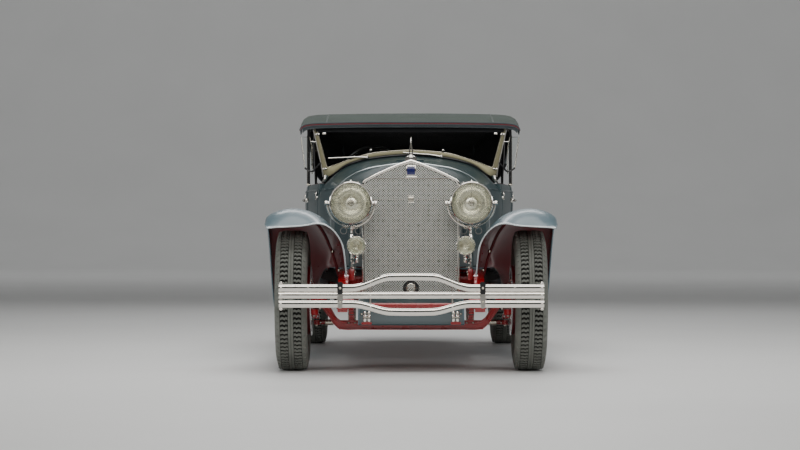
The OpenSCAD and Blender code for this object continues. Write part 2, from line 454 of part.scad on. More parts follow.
frame();
front_axle();
rear_axle();
leaf_springs();
engine_block();
exhaust_system();
fuel_tank();
radiator_shell();
radiator_core();
radiator_grille();
front_apron();
bonnet_sides();
bonnet_hinge();
bonnet_top_left();
bonnet_top_right();
cowl();
body_tub();
floor_boards();
front_seat();
rear_seat();
dashboard();
steering_column();
windshield_frame();
window_glass();
folding_top();
top_bows();
front_fenders();
rear_fenders();
running_boards();
engine_shelves();
headlamps();
driving_lamps();
lamp_brackets();
lamp_lenses();
front_bumper();
tail_lamps();
plate_bracket();
spare_wheel();
spare_tyre();
door_front_left();
door_front_right();
door_rear_left();
door_rear_right();
knuckle_left();
knuckle_right();
tie_rod();
steering_wheel();
wheel_front_left();
wheel_front_right();
wheel_rear_left();
wheel_rear_right();
tyre_front_left();
tyre_front_right();
tyre_rear_left();
tyre_rear_right();
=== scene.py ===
import math
import bpy, bmesh
import numpy as np
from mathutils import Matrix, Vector


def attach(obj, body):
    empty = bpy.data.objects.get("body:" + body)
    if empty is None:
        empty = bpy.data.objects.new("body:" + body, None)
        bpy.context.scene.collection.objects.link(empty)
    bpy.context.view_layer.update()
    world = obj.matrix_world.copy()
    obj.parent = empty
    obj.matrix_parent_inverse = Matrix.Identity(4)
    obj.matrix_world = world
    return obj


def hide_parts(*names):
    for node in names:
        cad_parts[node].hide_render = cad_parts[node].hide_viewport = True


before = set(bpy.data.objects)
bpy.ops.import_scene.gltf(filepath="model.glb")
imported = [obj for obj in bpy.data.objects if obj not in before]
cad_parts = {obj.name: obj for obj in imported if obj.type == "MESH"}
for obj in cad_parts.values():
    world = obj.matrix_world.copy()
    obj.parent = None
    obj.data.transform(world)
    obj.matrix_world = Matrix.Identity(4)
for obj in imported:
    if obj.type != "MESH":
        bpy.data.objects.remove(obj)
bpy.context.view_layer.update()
FA = -1985.0
RA = 3683.0
ZC = 419.0
WX = 706.0


# ---------------------------------------------------------------- materials
def lin(r, g, b):
    f = lambda c: (c / 255.0) / 12.92 if c / 255.0 <= 0.04045 else ((c / 255.0 + 0.055) / 1.055) ** 2.4
    return (f(r), f(g), f(b), 1.0)


def mat(name, col, rough=0.4, metal=0.0, coat=0.0, coat_rough=0.05, var=0.06, var_scale=6.0, rough_var=0.06, bump=0.0, bump_scale=120.0,
        kind="noise", sheen=0.0, trans=0.0, ior=1.45, spec=0.5, edge=0.0, emit=None):
    m = bpy.data.materials.new(name)
    m.use_nodes = True
    nt = m.node_tree
    N, L = nt.nodes, nt.links
    p = N["Principled BSDF"]
    p.inputs["Metallic"].default_value = metal
    p.inputs["IOR"].default_value = ior
    p.inputs["Specular IOR Level"].default_value = spec
    p.inputs["Coat Weight"].default_value = coat
    p.inputs["Coat Roughness"].default_value = coat_rough
    p.inputs["Sheen Weight"].default_value = sheen
    p.inputs["Transmission Weight"].default_value = trans
    if emit:
        p.inputs["Emission Color"].default_value = emit[0]
        p.inputs["Emission Strength"].default_value = emit[1]
    tc = N.new("ShaderNodeTexCoord")
    no = N.new("ShaderNodeTexNoise")
    no.inputs["Scale"].default_value = var_scale
    no.inputs["Detail"].default_value = 6.0
    L.new(tc.outputs["Object"], no.inputs["Vector"])
    ramp = N.new("ShaderNodeValToRGB")
    c = np.array(col[:3])
    ramp.color_ramp.elements[0].position = 0.3
    ramp.color_ramp.elements[1].position = 0.72
    ramp.color_ramp.elements[0].color = (*np.clip(c * (1 - var), 0, 1), 1)
    ramp.color_ramp.elements[1].color = (*np.clip(c * (1 + var), 0, 1), 1)
    L.new(no.outputs["Fac"], ramp.inputs["Fac"])
    out = ramp.outputs["Color"]
    # painted highlight: convex edges, found by pointiness, get a lighter copy of the base colour
    if edge > 0:
        g = N.new("ShaderNodeNewGeometry")
        edge_highlight_ramp = N.new("ShaderNodeValToRGB")
        edge_highlight_ramp.color_ramp.elements[0].position = 0.52
        edge_highlight_ramp.color_ramp.elements[1].position = 0.62
        L.new(g.outputs["Pointiness"], edge_highlight_ramp.inputs["Fac"])
        edge_highlight_mix = N.new("ShaderNodeMix")
        edge_highlight_mix.data_type = "RGBA"
        L.new(edge_highlight_ramp.outputs["Color"], edge_highlight_mix.inputs[0])
        L.new(out, edge_highlight_mix.inputs[6])
        edge_highlight_mix.inputs[7].default_value = (*np.clip(c * (1 + edge) + 0.02 * edge, 0, 1), 1)
        out = edge_highlight_mix.outputs[2]
    L.new(out, p.inputs["Base Color"])
    rn = N.new("ShaderNodeMapRange")
    rn.inputs["To Min"].default_value = max(0.01, rough - rough_var)
    rn.inputs["To Max"].default_value = min(1.0, rough + rough_var)
    n2 = N.new("ShaderNodeTexNoise")
    n2.inputs["Scale"].default_value = var_scale * 3.3
    n2.inputs["Detail"].default_value = 4.0
    L.new(tc.outputs["Object"], n2.inputs["Vector"])
    L.new(n2.outputs["Fac"], rn.inputs["Value"])
    L.new(rn.outputs["Result"], p.inputs["Roughness"])
    if bump > 0:
        bp = N.new("ShaderNodeBump")
        bp.inputs["Strength"].default_value = bump
        bp.inputs["Distance"].default_value = 0.002
        if kind == "noise":
            b = N.new("ShaderNodeTexNoise")
            b.inputs["Scale"].default_value = bump_scale
            b.inputs["Detail"].default_value = 5.0
            L.new(tc.outputs["Object"], b.inputs["Vector"])
            h = b.outputs["Fac"]
        elif kind == "grain":
            b = N.new("ShaderNodeTexVoronoi")
            b.inputs["Scale"].default_value = bump_scale
            L.new(tc.outputs["Object"], b.inputs["Vector"])
            h = b.outputs["Distance"]
        else:
            hs = []
            for axis in ("X", "Y"):
                w = N.new("ShaderNodeTexWave")
                w.bands_direction = axis
                w.inputs["Scale"].default_value = bump_scale
                w.inputs["Distortion"].default_value = 0.6
                w.inputs["Detail"].default_value = 2.0
                L.new(tc.outputs["Object"], w.inputs["Vector"])
                hs.append(w.outputs["Fac"])
            mm = N.new("ShaderNodeMath")
            mm.operation = "MULTIPLY" if kind == "weave" else "ADD"
            L.new(hs[0], mm.inputs[0])
            L.new(hs[1], mm.inputs[1])
            h = mm.outputs[0]
        L.new(h, bp.inputs["Height"])
        L.new(bp.outputs["Normal"], p.inputs["Normal"])
    return m


M = {
    "blue": mat("wing_blue_paint", lin(84, 108, 118), 0.34, 0.0, 0.2, 0.05, 0.03, 2.0, 0.03, 0.0, 500, edge=0.2),
    "body": mat("body_blue_paint", lin(50, 68, 72), 0.36, 0.0, 0.1, 0.06, 0.04, 2.0, 0.03, 0.0, 500, edge=0.2, spec=0.28),
    "burg": mat("burgundy_underside_paint", lin(98, 10, 20), 0.3, 0.0, 0.22, 0.05, 0.1, 5.0, 0.05, 0.03, 300),
    "red": mat("chassis_red_paint", lin(146, 8, 16), 0.28, 0.0, 0.8, 0.06, 0.08, 5.0, 0.04, 0.05, 500, edge=0.3),
    "chrome": mat("chrome_plate", lin(232, 228, 220), 0.07, 1.0, 0.0, 0.05, 0.03, 5.0, 0.035, 0.02, 300),
    "satin": mat("satin_nickel_plate", lin(196, 190, 176), 0.22, 1.0, 0.0, 0.05, 0.05, 12.0, 0.05, 0.04, 400),
    # olive nickel plate; its darkness is a painted reflection of the dim room
    "nickel": mat("screen_frame_nickel_painted_dark_reflection", lin(120, 116, 92), 0.34, 0.7, 0.0, 0.05, 0.06, 12.0, 0.05, 0.04, 400),
    "mesh": mat("grille_wire_chrome", lin(226, 228, 222), 0.46, 0.7, 0.0, 0.05, 0.05, 18.0, 0.05, 0.05, 300),
    "black": mat("black_enamel", lin(20, 20, 22), 0.3, 0.0, 0.4, 0.1, 0.1, 8.0, 0.06, 0.05, 300),
    "dark": mat("radiator_core_black", lin(26, 26, 28), 0.6, 0.3, 0.0, 0.1, 0.2, 30.0, 0.08, 0.2, 400),
    "iron": mat("cast_iron_grey", lin(84, 86, 86), 0.55, 0.6, 0.0, 0.1, 0.15, 14.0, 0.1, 0.3, 200),
    # painted shade: groove floors get a darker rubber than the tread, for the shade in the grooves
    "groove": mat("tyre_groove_painted_shade", lin(34, 34, 32), 0.8, 0.0, 0.0, 0.1, 0.1, 9.0, 0.05, 0.1, 260, spec=0.2),
    "tyre": mat("tyre_rubber", lin(112, 114, 108), 0.68, 0.0, 0.0, 0.1, 0.16, 9.0, 0.08, 0.25, 260, spec=0.35),
    "glass": mat("clear_window_glass", (0.93, 0.96, 0.95, 1), 0.02, 0.0, 0.0, 0.0, 0.01, 2.0, 0.01, trans=1.0, ior=1.15),
    "lens": mat("lamp_lens_glass", (0.97, 0.98, 0.96, 1), 0.03, 0.0, 0.0, 0.0, 0.01, 2.0, 0.015, trans=1.0, ior=1.2),
    "mirror": mat("silvered_reflector", lin(246, 246, 236), 0.2, 0.85, 0.0, 0.0, 0.02, 6.0, 0.03),
    "redlens": mat("tail_lamp_red_glass", lin(160, 12, 14), 0.12, 0.0, 0.6, 0.03, 0.08, 20.0, 0.03, 0.1, 200),
    "canvas": mat("grey_canvas", lin(70, 79, 75), 0.9, 0.0, 0.0, 0.1, 0.09, 4.0, 0.05, 0.35, 260, kind="weave", sheen=0.06, spec=0.08),
    "lining": mat("dark_top_lining", lin(34, 34, 36), 0.9, 0.0, 0.0, 0.1, 0.1, 8.0, 0.05, 0.3, 300, kind="weave", sheen=0.2, spec=0.15),
    "bind": mat("grey_binding_cloth", lin(70, 78, 82), 0.82, 0.0, 0.0, 0.1, 0.08, 12.0, 0.05, 0.3, 400, kind="weave", sheen=0.3, spec=0.2),
    "piping": mat("red_edge_piping", lin(120, 36, 44), 0.7, 0.0, 0.0, 0.1, 0.08, 12.0, 0.05, 0.3, 400, kind="weave", sheen=0.2, spec=0.2),
    "hide": mat("dark_red_hide", lin(92, 26, 24), 0.42, 0.0, 0.1, 0.2, 0.14, 7.0, 0.08, 0.35, 320, kind="grain", spec=0.4),
    "wood": mat("varnished_walnut", lin(84, 46, 24), 0.26, 0.0, 0.7, 0.06, 0.3, 16.0, 0.05, 0.06, 120),
    "boards": mat("floor_plywood", lin(120, 88, 56), 0.6, 0.0, 0.0, 0.1, 0.25, 12.0, 0.08, 0.2, 80),
    "carpet": mat("dark_carpet", lin(52, 30, 30), 0.95, 0.0, 0.0, 0.1, 0.2, 60.0, 0.04, 0.7, 420, sheen=0.3, spec=0.1),
    "mat": mat("ribbed_rubber_mat", lin(38, 40, 42), 0.7, 0.0, 0.0, 0.1, 0.1, 10.0, 0.06, 0.2, 260),
    "enamel": mat("blue_enamel", lin(22, 28, 92), 0.15, 0.0, 0.8, 0.03, 0.08, 30.0, 0.03),
    "ivory": mat("ivory_dial", lin(222, 214, 190), 0.35, 0.0, 0.5, 0.05, 0.04, 30.0, 0.04),
    # pale edge bead: a rolled bead, its pale colour also a painted highlight along the edges it runs on
    "bead": mat("edge_bead_with_painted_highlight", lin(196, 204, 206), 0.2, 0.6, 0.3, 0.05, 0.04, 12.0, 0.04),
}


# ---------------------------------------------------------------- geometry
class Geo:
    """Faces gathered in millimetres: X across, s along the car from the front axle, Z up."""

    def __init__(self):
        self.v, self.f, self.m, self.sm, self.names = [], [], [], [], []

    def mi(self, name):
        if name not in self.names:
            self.names.append(name)
        return self.names.index(name)

    def add(self, V, F, m, smooth=True):
        o = len(self.v)
        self.v.extend([tuple(map(float, p)) for p in V])
        self.f.extend([tuple(int(i) + o for i in f) for f in F])
        k = self.mi(m)
        self.m.extend([k] * len(F))
        self.sm.extend([smooth] * len(F))

    def box(self, x0, x1, s0, s1, z0, z1, m, b=1.5):
        """A box whose edges are cut back by b."""
        c = np.array([(x0 + x1) / 2, (s0 + s1) / 2, (z0 + z1) / 2])
        h = np.array([abs(x1 - x0), abs(s1 - s0), abs(z1 - z0)]) / 2
        b = min(b, 0.45 * min(h))
        bm = bmesh.new()
        bmesh.ops.create_cube(bm, size=2.0)
        for v in bm.verts:
            v.co = Vector([v.co[i] * h[i] for i in range(3)])
        if b > 0:
            bmesh.ops.bevel(bm, geom=list(bm.edges), offset=b, segments=2, affect="EDGES", profile=0.5)
        bm.verts.index_update()
        self.add([np.array(v.co) + c for v in bm.verts], [[v.index for v in f.verts] for f in bm.faces], m)
        bm.free()

    def tube(self, path, r, m, n=10, closed=False, cap=True):
        P = np.array(path, float)
        k = len(P)
        R = np.full(k, float(r)) if np.isscalar(r) else np.array(r, float)
        if closed:
            T = np.roll(P, -1, 0) - np.roll(P, 1, 0)
        else:
            T = np.gradient(P, axis=0)
        T /= np.maximum(np.linalg.norm(T, axis=1, keepdims=True), 1e-9)
        a = np.array([0, 0, 1.0]) if abs(T[0][2]) < 0.9 else np.array([1.0, 0, 0])
        u = np.cross(T[0], a)
        u /= np.linalg.norm(u)
        V = []
        ang = np.arange(n) * 2 * math.pi / n
        for i in range(k):
            u = u - T[i] * np.dot(u, T[i])
            u /= max(np.linalg.norm(u), 1e-9)
            w = np.cross(T[i], u)
            V.extend([P[i] + R[i] * (math.cos(t) * u + math.sin(t) * w) for t in ang])
        F = []
        for i in range(k if closed else k - 1):
            j = (i + 1) % k
            for q in range(n):
                F.append((i * n + q, i * n + (q + 1) % n, j * n + (q + 1) % n, j * n + q))
        if cap and not closed:
            F.append(tuple(range(n - 1, -1, -1)))
            F.append(tuple(range((k - 1) * n, k * n)))
        self.add(V, F, m)

    def rod(self, a, b, r, m, n=16, bev=1.5):
        """A bar with small chamfers at its ends."""
        a, b = np.array(a, float), np.array(b, float)
        d = b - a
        l = np.linalg.norm(d)
        d = d / l
        c = min(bev, l * 0.3, r * 0.4)
        self.tube([a, a + d * 0.001, a + d * c, b - d * c, b - d * 0.001, b], [r - c, r - c, r, r, r - c, r - c], m, n)

    def lathe(self, prof, origin, axis, m, n=48, closed=False, smooth=True):
        """prof is a list of (radius, distance along axis)."""
        o, ax = np.array(origin, float), np.array(axis, float)
        ax /= np.linalg.norm(ax)
        a = np.array([0, 0, 1.0]) if abs(ax[2]) < 0.9 else np.array([0, 1.0, 0])
        u = np.cross(a, ax)
        u /= np.linalg.norm(u)
        w = np.cross(ax, u)
        V, F = [], []
        idx = []
        for (r, h) in prof:
            if r < 1e-6:
                idx.append([len(V)])
                V.append(o + ax * h)
            else:
                idx.append(list(range(len(V), len(V) + n)))
                for q in range(n):
                    t = 2 * math.pi * q / n
                    V.append(o + ax * h + r * (math.cos(t) * u + math.sin(t) * w))
        pairs = list(zip(idx[:-1], idx[1:])) + ([(idx[-1], idx[0])] if closed else [])
        for A, B in pairs:
            for q in range(n):
                p = (q + 1) % n
                if len(A) == 1 and len(B) == 1:
                    continue
                if len(A) == 1:
                    F.append((A[0], B[p], B[q]))
                elif len(B) == 1:
                    F.append((A[q], A[p], B[0]))
                else:
                    F.append((A[q], A[p], B[p], B[q]))
        self.add(V, F, m, smooth)

    def ball(self, p, r, m, n=16, squash=1.0, axis=(0, 0, 1)):
        self.lathe([(r * math.sin(t), -r * squash * math.cos(t)) for t in np.linspace(0, math.pi, 9)], p, axis, m, n)

    def grid(self, A, m, smooth=True, wrap=False):
        A = np.array(A, float)
        k, n = A.shape[:2]
        F = []
        for i in range(k - 1):
            for j in range(n if wrap else n - 1):
                q = (j + 1) % n
                F.append((i * n + j, i * n + q, (i + 1) * n + q, (i + 1) * n + j))
        self.add(A.reshape(-1, 3), F, m, smooth)

    def sheet(self, A, B, ma, mb, me, keep=None):
        """A thick sheet between grids A and B; keep says which cells are there."""
        A, B = np.array(A, float), np.array(B, float)
        k, n = A.shape[:2]
        keep = np.ones((k - 1, n - 1), bool) if keep is None else keep
        ok = lambda i, j: 0 <= i < k - 1 and 0 <= j < n - 1 and keep[i, j]
        FA_, FB_, FE = [], [], []
        o = k * n
        for i in range(k - 1):
            for j in range(n - 1):
                if not keep[i, j]:
                    continue
                a, b, c, d = i * n + j, i * n + j + 1, (i + 1) * n + j + 1, (i + 1) * n + j
                FA_.append((a, b, c, d))
                FB_.append((o + a, o + d, o + c, o + b))
                for (di, dj, p, q) in ((-1, 0, a, b), (0, 1, b, c), (1, 0, c, d), (0, -1, d, a)):
                    if not ok(i + di, j + dj):
                        FE.append((q, p, o + p, o + q))
        V = np.concatenate([A.reshape(-1, 3), B.reshape(-1, 3)])
        base = len(self.v)
        self.v.extend([tuple(p) for p in V])
        for F, m in ((FA_, ma), (FB_, mb), (FE, me)):
            kk = self.mi(m)
            for f in F:
                self.f.append(tuple(i + base for i in f))
                self.m.append(kk)
                self.sm.append(True)

    def prism(self, poly, axis, a, b, m, smooth=False):
        """poly is drawn in (x, z) for axis 's', in (s, z) for axis 'x', in (x, s) for axis 'z'."""
        n = len(poly)
        put = {"s": lambda p, t: (p[0], t, p[1]), "x": lambda p, t: (t, p[0], p[1]), "z": lambda p, t: (p[0], p[1], t)}[axis]
        V = [put(p, a) for p in poly] + [put(p, b) for p in poly]
        F = [tuple(range(n)), tuple(range(2 * n - 1, n - 1, -1))] + [(i, n + i, n + (i + 1) % n, (i + 1) % n) for i in range(n)]
        self.add(V, F, m, smooth)

    def mirrored(self):
        """Adds the other side of everything so far."""
        n = len(self.v)
        self.v.extend([(-x, s, z) for x, s, z in self.v])
        self.f.extend([tuple(i + n for i in reversed(f)) for f in list(self.f)])
        self.m.extend(list(self.m))
        self.sm.extend(list(self.sm))

    def flip_copy(self):
        g = Geo()
        g.v = [(-x, s, z) for x, s, z in self.v]
        g.f = [tuple(reversed(f)) for f in self.f]
        g.m, g.sm, g.names = list(self.m), list(self.sm), list(self.names)
        return g

    def shifted(self, dx, ds, dz):
        g = Geo()
        g.v = [(x + dx, s + ds, z + dz) for x, s, z in self.v]
        g.f, g.m, g.sm, g.names = list(self.f), list(self.m), list(self.sm), list(self.names)
        return g

    def make(self, name, body="chassis", replaces=(), slot=None, bevel=0.0, sharp=40, weld=False, normals=True):
        me = bpy.data.meshes.new(name)
        V = [(x / 1000, (s + FA) / 1000, z / 1000) for x, s, z in self.v]
        me.from_pydata(V, [], self.f)
        me.polygons.foreach_set("material_index", self.m)
        me.polygons.foreach_set("use_smooth", self.sm)
        for n in self.names:
            me.materials.append(M[n])
        me.update()
        if weld or normals:
            bm = bmesh.new()
            bm.from_mesh(me)
            if weld:
                bmesh.ops.remove_doubles(bm, verts=bm.verts, dist=2e-5)
            if normals:
                bmesh.ops.recalc_face_normals(bm, faces=bm.faces)
            bm.to_mesh(me)
            bm.free()
        me.set_sharp_from_angle(angle=math.radians(sharp))
        ob = bpy.data.objects.new(name, me)
        bpy.context.scene.collection.objects.link(ob)
        if bevel > 0:
            md = ob.modifiers.new("edges", "BEVEL")
            md.width = bevel / 1000
            md.segments = 2
            md.limit_method = "ANGLE"
            md.angle_limit = math.radians(50)
            md.harden_normals = False
        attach(ob, body)
        if replaces:
            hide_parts(*replaces)
        return ob


def tab(T, x, k=1):
    i = 0
    while i < len(T) - 2 and x >= T[i + 1][0]:
        i += 1
    def dk(i):
        if i == 0:
            return (T[1][k] - T[0][k]) / (T[1][0] - T[0][0])
        if i == len(T) - 1:
            return (T[i][k] - T[i - 1][k]) / (T[i][0] - T[i - 1][0])
        return (T[i + 1][k] - T[i - 1][k]) / (T[i + 1][0] - T[i - 1][0])
    h = T[i + 1][0] - T[i][0]
    t = min(1.0, max(0.0, (x - T[i][0]) / h))
    a, b = t * t, t ** 3
    return (2 * b - 3 * a + 1) * T[i][k] + (b - 2 * a + t) * h * dk(i) + (3 * a - 2 * b) * T[i + 1][k] + (b - a) * h * dk(i + 1)


def mix(a, b, t):
    return a + (b - a) * t


def ease(t):
    u = min(1.0, max(0.0, t))
    return u * u * (3 - 2 * u)


def curve(P, n, closed=False):
    """A smooth line through the points P, n points long."""
    P = np.array(P, float)
    d = np.concatenate([[0], np.cumsum(np.linalg.norm(np.diff(P, axis=0), axis=1))])
    T = [[d[i]] + list(P[i]) for i in range(len(P))]
    return np.array([[tab(T, x, k + 1) for k in range(P.shape[1])] for x in np.linspace(0, d[-1], n)])


def normals(A):
    A = np.array(A, float)
    di = np.gradient(A, axis=0)
    dj = np.gradient(A, axis=1)
    N = np.cross(di, dj)
    return N / np.maximum(np.linalg.norm(N, axis=2, keepdims=True), 1e-9)


def offset(A, t):
    return np.array(A, float) + t * normals(A)


def paint_node(name, key, bevel=0.0):
    """A CAD node whose shape is right keeps it and gets a material."""
    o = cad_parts[name]
    o.data.materials.clear()
    o.data.materials.append(M[key])
    if bevel:
        md = o.modifiers.new("edges", "BEVEL")
        md.width = bevel / 1000
        md.segments = 2
        md.limit_method = "ANGLE"
        md.angle_limit = math.radians(50)
    return o


# ---------------------------------------------------------------- camera, floor, lights
cam_d = bpy.data.cameras.new("camera")
cam_d.sensor_width = 36.0
cam_d.lens = 113.3
cam_d.shift_y = 0.00875
cam_d.clip_end = 200.0
cam = bpy.data.objects.new("camera", cam_d)
cam.location = (-0.066, -17.085, 0.828)
cam.rotation_euler = (math.radians(90), 0, 0)
bpy.context.scene.collection.objects.link(cam)
bpy.context.scene.camera = cam


def stage_plane(name, V, F, col, rough):
    me = bpy.data.meshes.new(name)
    me.from_pydata(V, [], F)
    for p in me.polygons:
        p.use_smooth = True
    me.materials.append(mat(name + "_grey", col, rough, var=0.02, var_scale=0.6))
    ob = bpy.data.objects.new(name, me)
    bpy.context.scene.collection.objects.link(ob)
    return ob


prof = [(-44.0, 0.0), (38.0, 0.0)] + [(38.0 + 9.0 * math.sin(a), 9.0 - 9.0 * math.cos(a)) for a in np.linspace(0.05, math.pi / 2, 24)] + [(47.0, 40.0)]
V = [(x, y, z) for y, z in prof for x in (-64.0, 64.0)]
stage_plane("studio_sweep", V, [(2 * i, 2 * i + 1, 2 * i + 3, 2 * i + 2) for i in range(len(prof) - 1)], lin(232, 233, 232), 0.5)
world = bpy.data.worlds.new("studio")
bpy.context.scene.world = world
world.use_nodes = True
wn, wl = world.node_tree.nodes, world.node_tree.links
bg = wn["Background"]
tc = wn.new("ShaderNodeTexCoord")
sx = wn.new("ShaderNodeSeparateXYZ")
rp = wn.new("ShaderNodeValToRGB")
mr = wn.new("ShaderNodeMapRange")
mr.inputs["From Min"].default_value = -0.3
mr.inputs["From Max"].default_value = 1.0
wl.new(tc.outputs["Generated"], sx.inputs[0])
wl.new(sx.outputs["Z"], mr.inputs["Value"])
wl.new(mr.outputs["Result"], rp.inputs["Fac"])
els = rp.color_ramp.elements
els[0].position, els[0].color = 0.0, (0.3, 0.3, 0.3, 1)
els[1].position, els[1].color = 1.0, (0.34, 0.34, 0.34, 1)
for pos, c in ((0.235, 0.22), (0.3, 0.06), (0.45, 0.08), (0.7, 0.2)):
    e = els.new(pos)
    e.color = (c, c, c * 1.01, 1)
wl.new(rp.outputs["Color"], bg.inputs["Color"])
bg.inputs["Strength"].default_value = 0.8


def area(name, loc, target, size, power, color=(1, 1, 1)):
    d = bpy.data.lights.new(name, "AREA")
    d.shape = "RECTANGLE"
    d.size, d.size_y = size
    d.energy = power
    d.color = color
    o = bpy.data.objects.new(name, d)
    o.location = loc
    o.rotation_euler = (Vector(target) - Vector(loc)).to_track_quat("-Z", "Y").to_euler()
    bpy.context.scene.collection.objects.link(o)


area("softbox_top", (0, -1.0, 6.0), (0, -0.6, 0), (4.0, 8.0), 320, (1.0, 0.985, 0.96))
area("softbox_front", (0.0, -20.5, 6.6), (0, -1.5, 1.2), (22.0, 3.4), 620, (1.0, 0.98, 0.94))
area("softbox_key", (0.8, -11.0, 5.6), (0, -1.5, 0.9), (7.0, 1.4), 240, (1.0, 0.98, 0.95))
area("softbox_left", (7.5, -4.5, 2.8), (0, -0.5, 0.7), (3.6, 1.6), 110)
area("softbox_right", (-7.5, -4.5, 2.8), (0, -0.5, 0.7), (3.6, 1.6), 110)
area("softbox_back", (0, 26.0, 17.0), (0, 45.0, 4.0), (44.0, 6.0), 1500)
area("softbox_rear", (0, 9.0, 6.5), (0, 1.0, 0.8), (6.0, 1.6), 160)


# ---------------------------------------------------------------- wheels and tyres
def tyre_geo(side):
    """A tyre about the X axis at the origin; side is not used."""
    g = Geo()
    h = [(267.5, -58), (273, -67), (288, -79), (297, -82.5), (300, -86), (303, -85), (316, -90.5), (338, -95), (352, -94.6), (355, -96), (359, -94.8), (370, -93.5), (386, -89.5), (400, -82.5),
         (409, -73.5), (414, -66.5), (414, -64.5), (409.5, -63.5), (409.5, -15.2), (418.2, -14.4), (419, -12), (419, -3), (414, -2), (414, 2)]
    prof = h + [(r, -w) for r, w in reversed(h[:-2])] + [(262, 56), (262, -56)]
    g.lathe(prof, (0, 0, 0), (1, 0, 0), "tyre", 120, closed=True)
    for sg in (-1, 1):
        # groove floors in the darker groove rubber: painted shade in the grooves
        g.grid(np.array([[(sg * w, r * math.sin(a), r * math.cos(a)) for w, r in ((15.6, 409.9), (30, 410.2), (48, 410.2), (63.2, 409.9))] for a in np.linspace(0, 2 * math.pi, 121)]), "groove", False)
    shape = [(17, -1), (27, 3.5), (34, -4), (47, 2.5), (62, -3.5), (62, 9), (48, 15), (34, 9), (27, 16), (17, 11.5)]
    K = 88
    for k in range(K):
        for sg in (-1, 1):
            V = []
            for rr, sh in ((408, 1.0), (419 - 0.6, 0.94)):
                for w, t in shape:
                    cw_ = 40 + (w - 40) * sh
                    ct = 5 + (t - 5) * sh
                    a = 2 * math.pi * (k + (0.5 if sg > 0 else 0)) / K + ct / 419 * 1.12
                    rd = rr - (2.2 if w > 55 else 0)
                    V.append((sg * cw_, rd * math.sin(a), rd * math.cos(a)))
            n = len(shape)
            F = [tuple(range(n, 2 * n))] + [(i, (i + 1) % n, n + (i + 1) % n, n + i) for i in range(n)]
            g.add(V, F, "tyre", False)
    for k in range(60):
        a = 2 * math.pi * k / 60
        for sg in (-1, 1):
            V = []
            for (r, w) in ((411.5, 74.5), (402, 84.0)):
                for dt in (-5.5, 5.5):
                    for dr in (-2.5, 2.2):
                        b = a + dt / 410
                        V.append((sg * (w + dr * 0.7), (r + dr) * math.sin(b), (r + dr) * math.cos(b)))
            g.add(V, [(1, 3, 7, 5), (0, 1, 5, 4), (2, 6, 7, 3), (0, 2, 3, 1), (4, 5, 7, 6)], "tyre", False)
    return g


def wheel_geo(drum=True, spokes=24):
    g = Geo()
    rim = [(246, -38), (243, -20), (242, 0), (243, 20), (246, 38), (256, 50), (259, 56), (266.5, 60), (267.4, 63), (264, 65), (257, 61), (253, 55), (240, 43), (236, 24), (235, 0), (236, -24), (240, -43),
           (253, -55), (257, -61), (264, -65), (267.4, -63), (266.5, -60), (259, -56), (256, -50)]
    g.lathe(rim, (0, 0, 0), (1, 0, 0), "red", 96, closed=True)
    hub = [(0, -30), (58, -30), (60, -27), (60, -20), (40, -14), (34, 10), (33, 48), (42, 58), (52, 61), (54, 66), (50, 70), (40, 72), (36, 76), (0, 76)]
    g.lathe(hub, (0, 0, 0), (1, 0, 0), "red", 48)
    cap = [(38, 74), (42, 78), (42, 84), (36, 92), (33, 101), (24, 108), (10, 111), (0, 111.5)]
    g.lathe(cap, (0, 0, 0), (1, 0, 0), "chrome", 40)
    for a in (0, math.pi):
        P = [(86, 30 * math.cos(a), 30 * math.sin(a)), (92, 55 * math.cos(a), 55 * math.sin(a)), (99, 78 * math.cos(a + 0.06), 78 * math.sin(a + 0.06)), (104, 93 * math.cos(a + 0.1), 93 * math.sin(a + 0.1))]
        g.tube(curve(P, 8), [11, 10.5, 9.5, 9, 8.5, 8.5, 8, 5], "chrome", 10)
    for row, (hr, hx, rx, tw, off) in enumerate(((50, 64, 17, 0.42, 0.0), (50, 64, 17, -0.42, 0.13), (56, -23, -13, 0.34, 0.06), (56, -23, -13, -0.34, 0.19), (37, 30, 0, 0.2, 0.1))):
        n = spokes if row < 4 else spokes // 2
        for k in range(n):
            a = 2 * math.pi * k / n + off
            b = a + tw
            g.tube([(hx, hr * math.sin(a), hr * math.cos(a)), (rx, 238 * math.sin(b), 238 * math.cos(b))], 2.3, "red", 6, cap=False)
            g.lathe([(0, 0), (4.2, 0), (4.2, 5), (0, 5)], (rx, 233 * math.sin(b), 233 * math.cos(b)), (0, math.sin(b), math.cos(b)), "satin", 6)
    g.rod((-6, 0, 256), (-6, 0, 226), 3.2, "satin", 8)
    if drum:
        d = [(0, -28), (60, -28), (150, -27), (188, -29), (200, -34), (204, -40)]
        for w in range(-44, -102, -9):
            d += [(204, w), (209.6, w - 1), (209.6, w - 5), (204, w - 6)]
        d += [(204, -103), (210, -104), (210, -111), (199.5, -111), (199.5, -36), (190, -33), (0, -33)]
        g.lathe(d, (0, 0, 0), (1, 0, 0), "burg", 96)
        g.lathe([(199.8, -111.2), (210.3, -111.2), (210.3, -106.5), (199.8, -106.5)], (0, 0, 0), (1, 0, 0), "bead", 96, closed=True)
        for k in range(10):
            a = 2 * math.pi * k / 10
            g.rod((-30, 84 * math.sin(a), 84 * math.cos(a)), (-21, 84 * math.sin(a), 84 * math.cos(a)), 8, "satin", 6, 1)
    return g


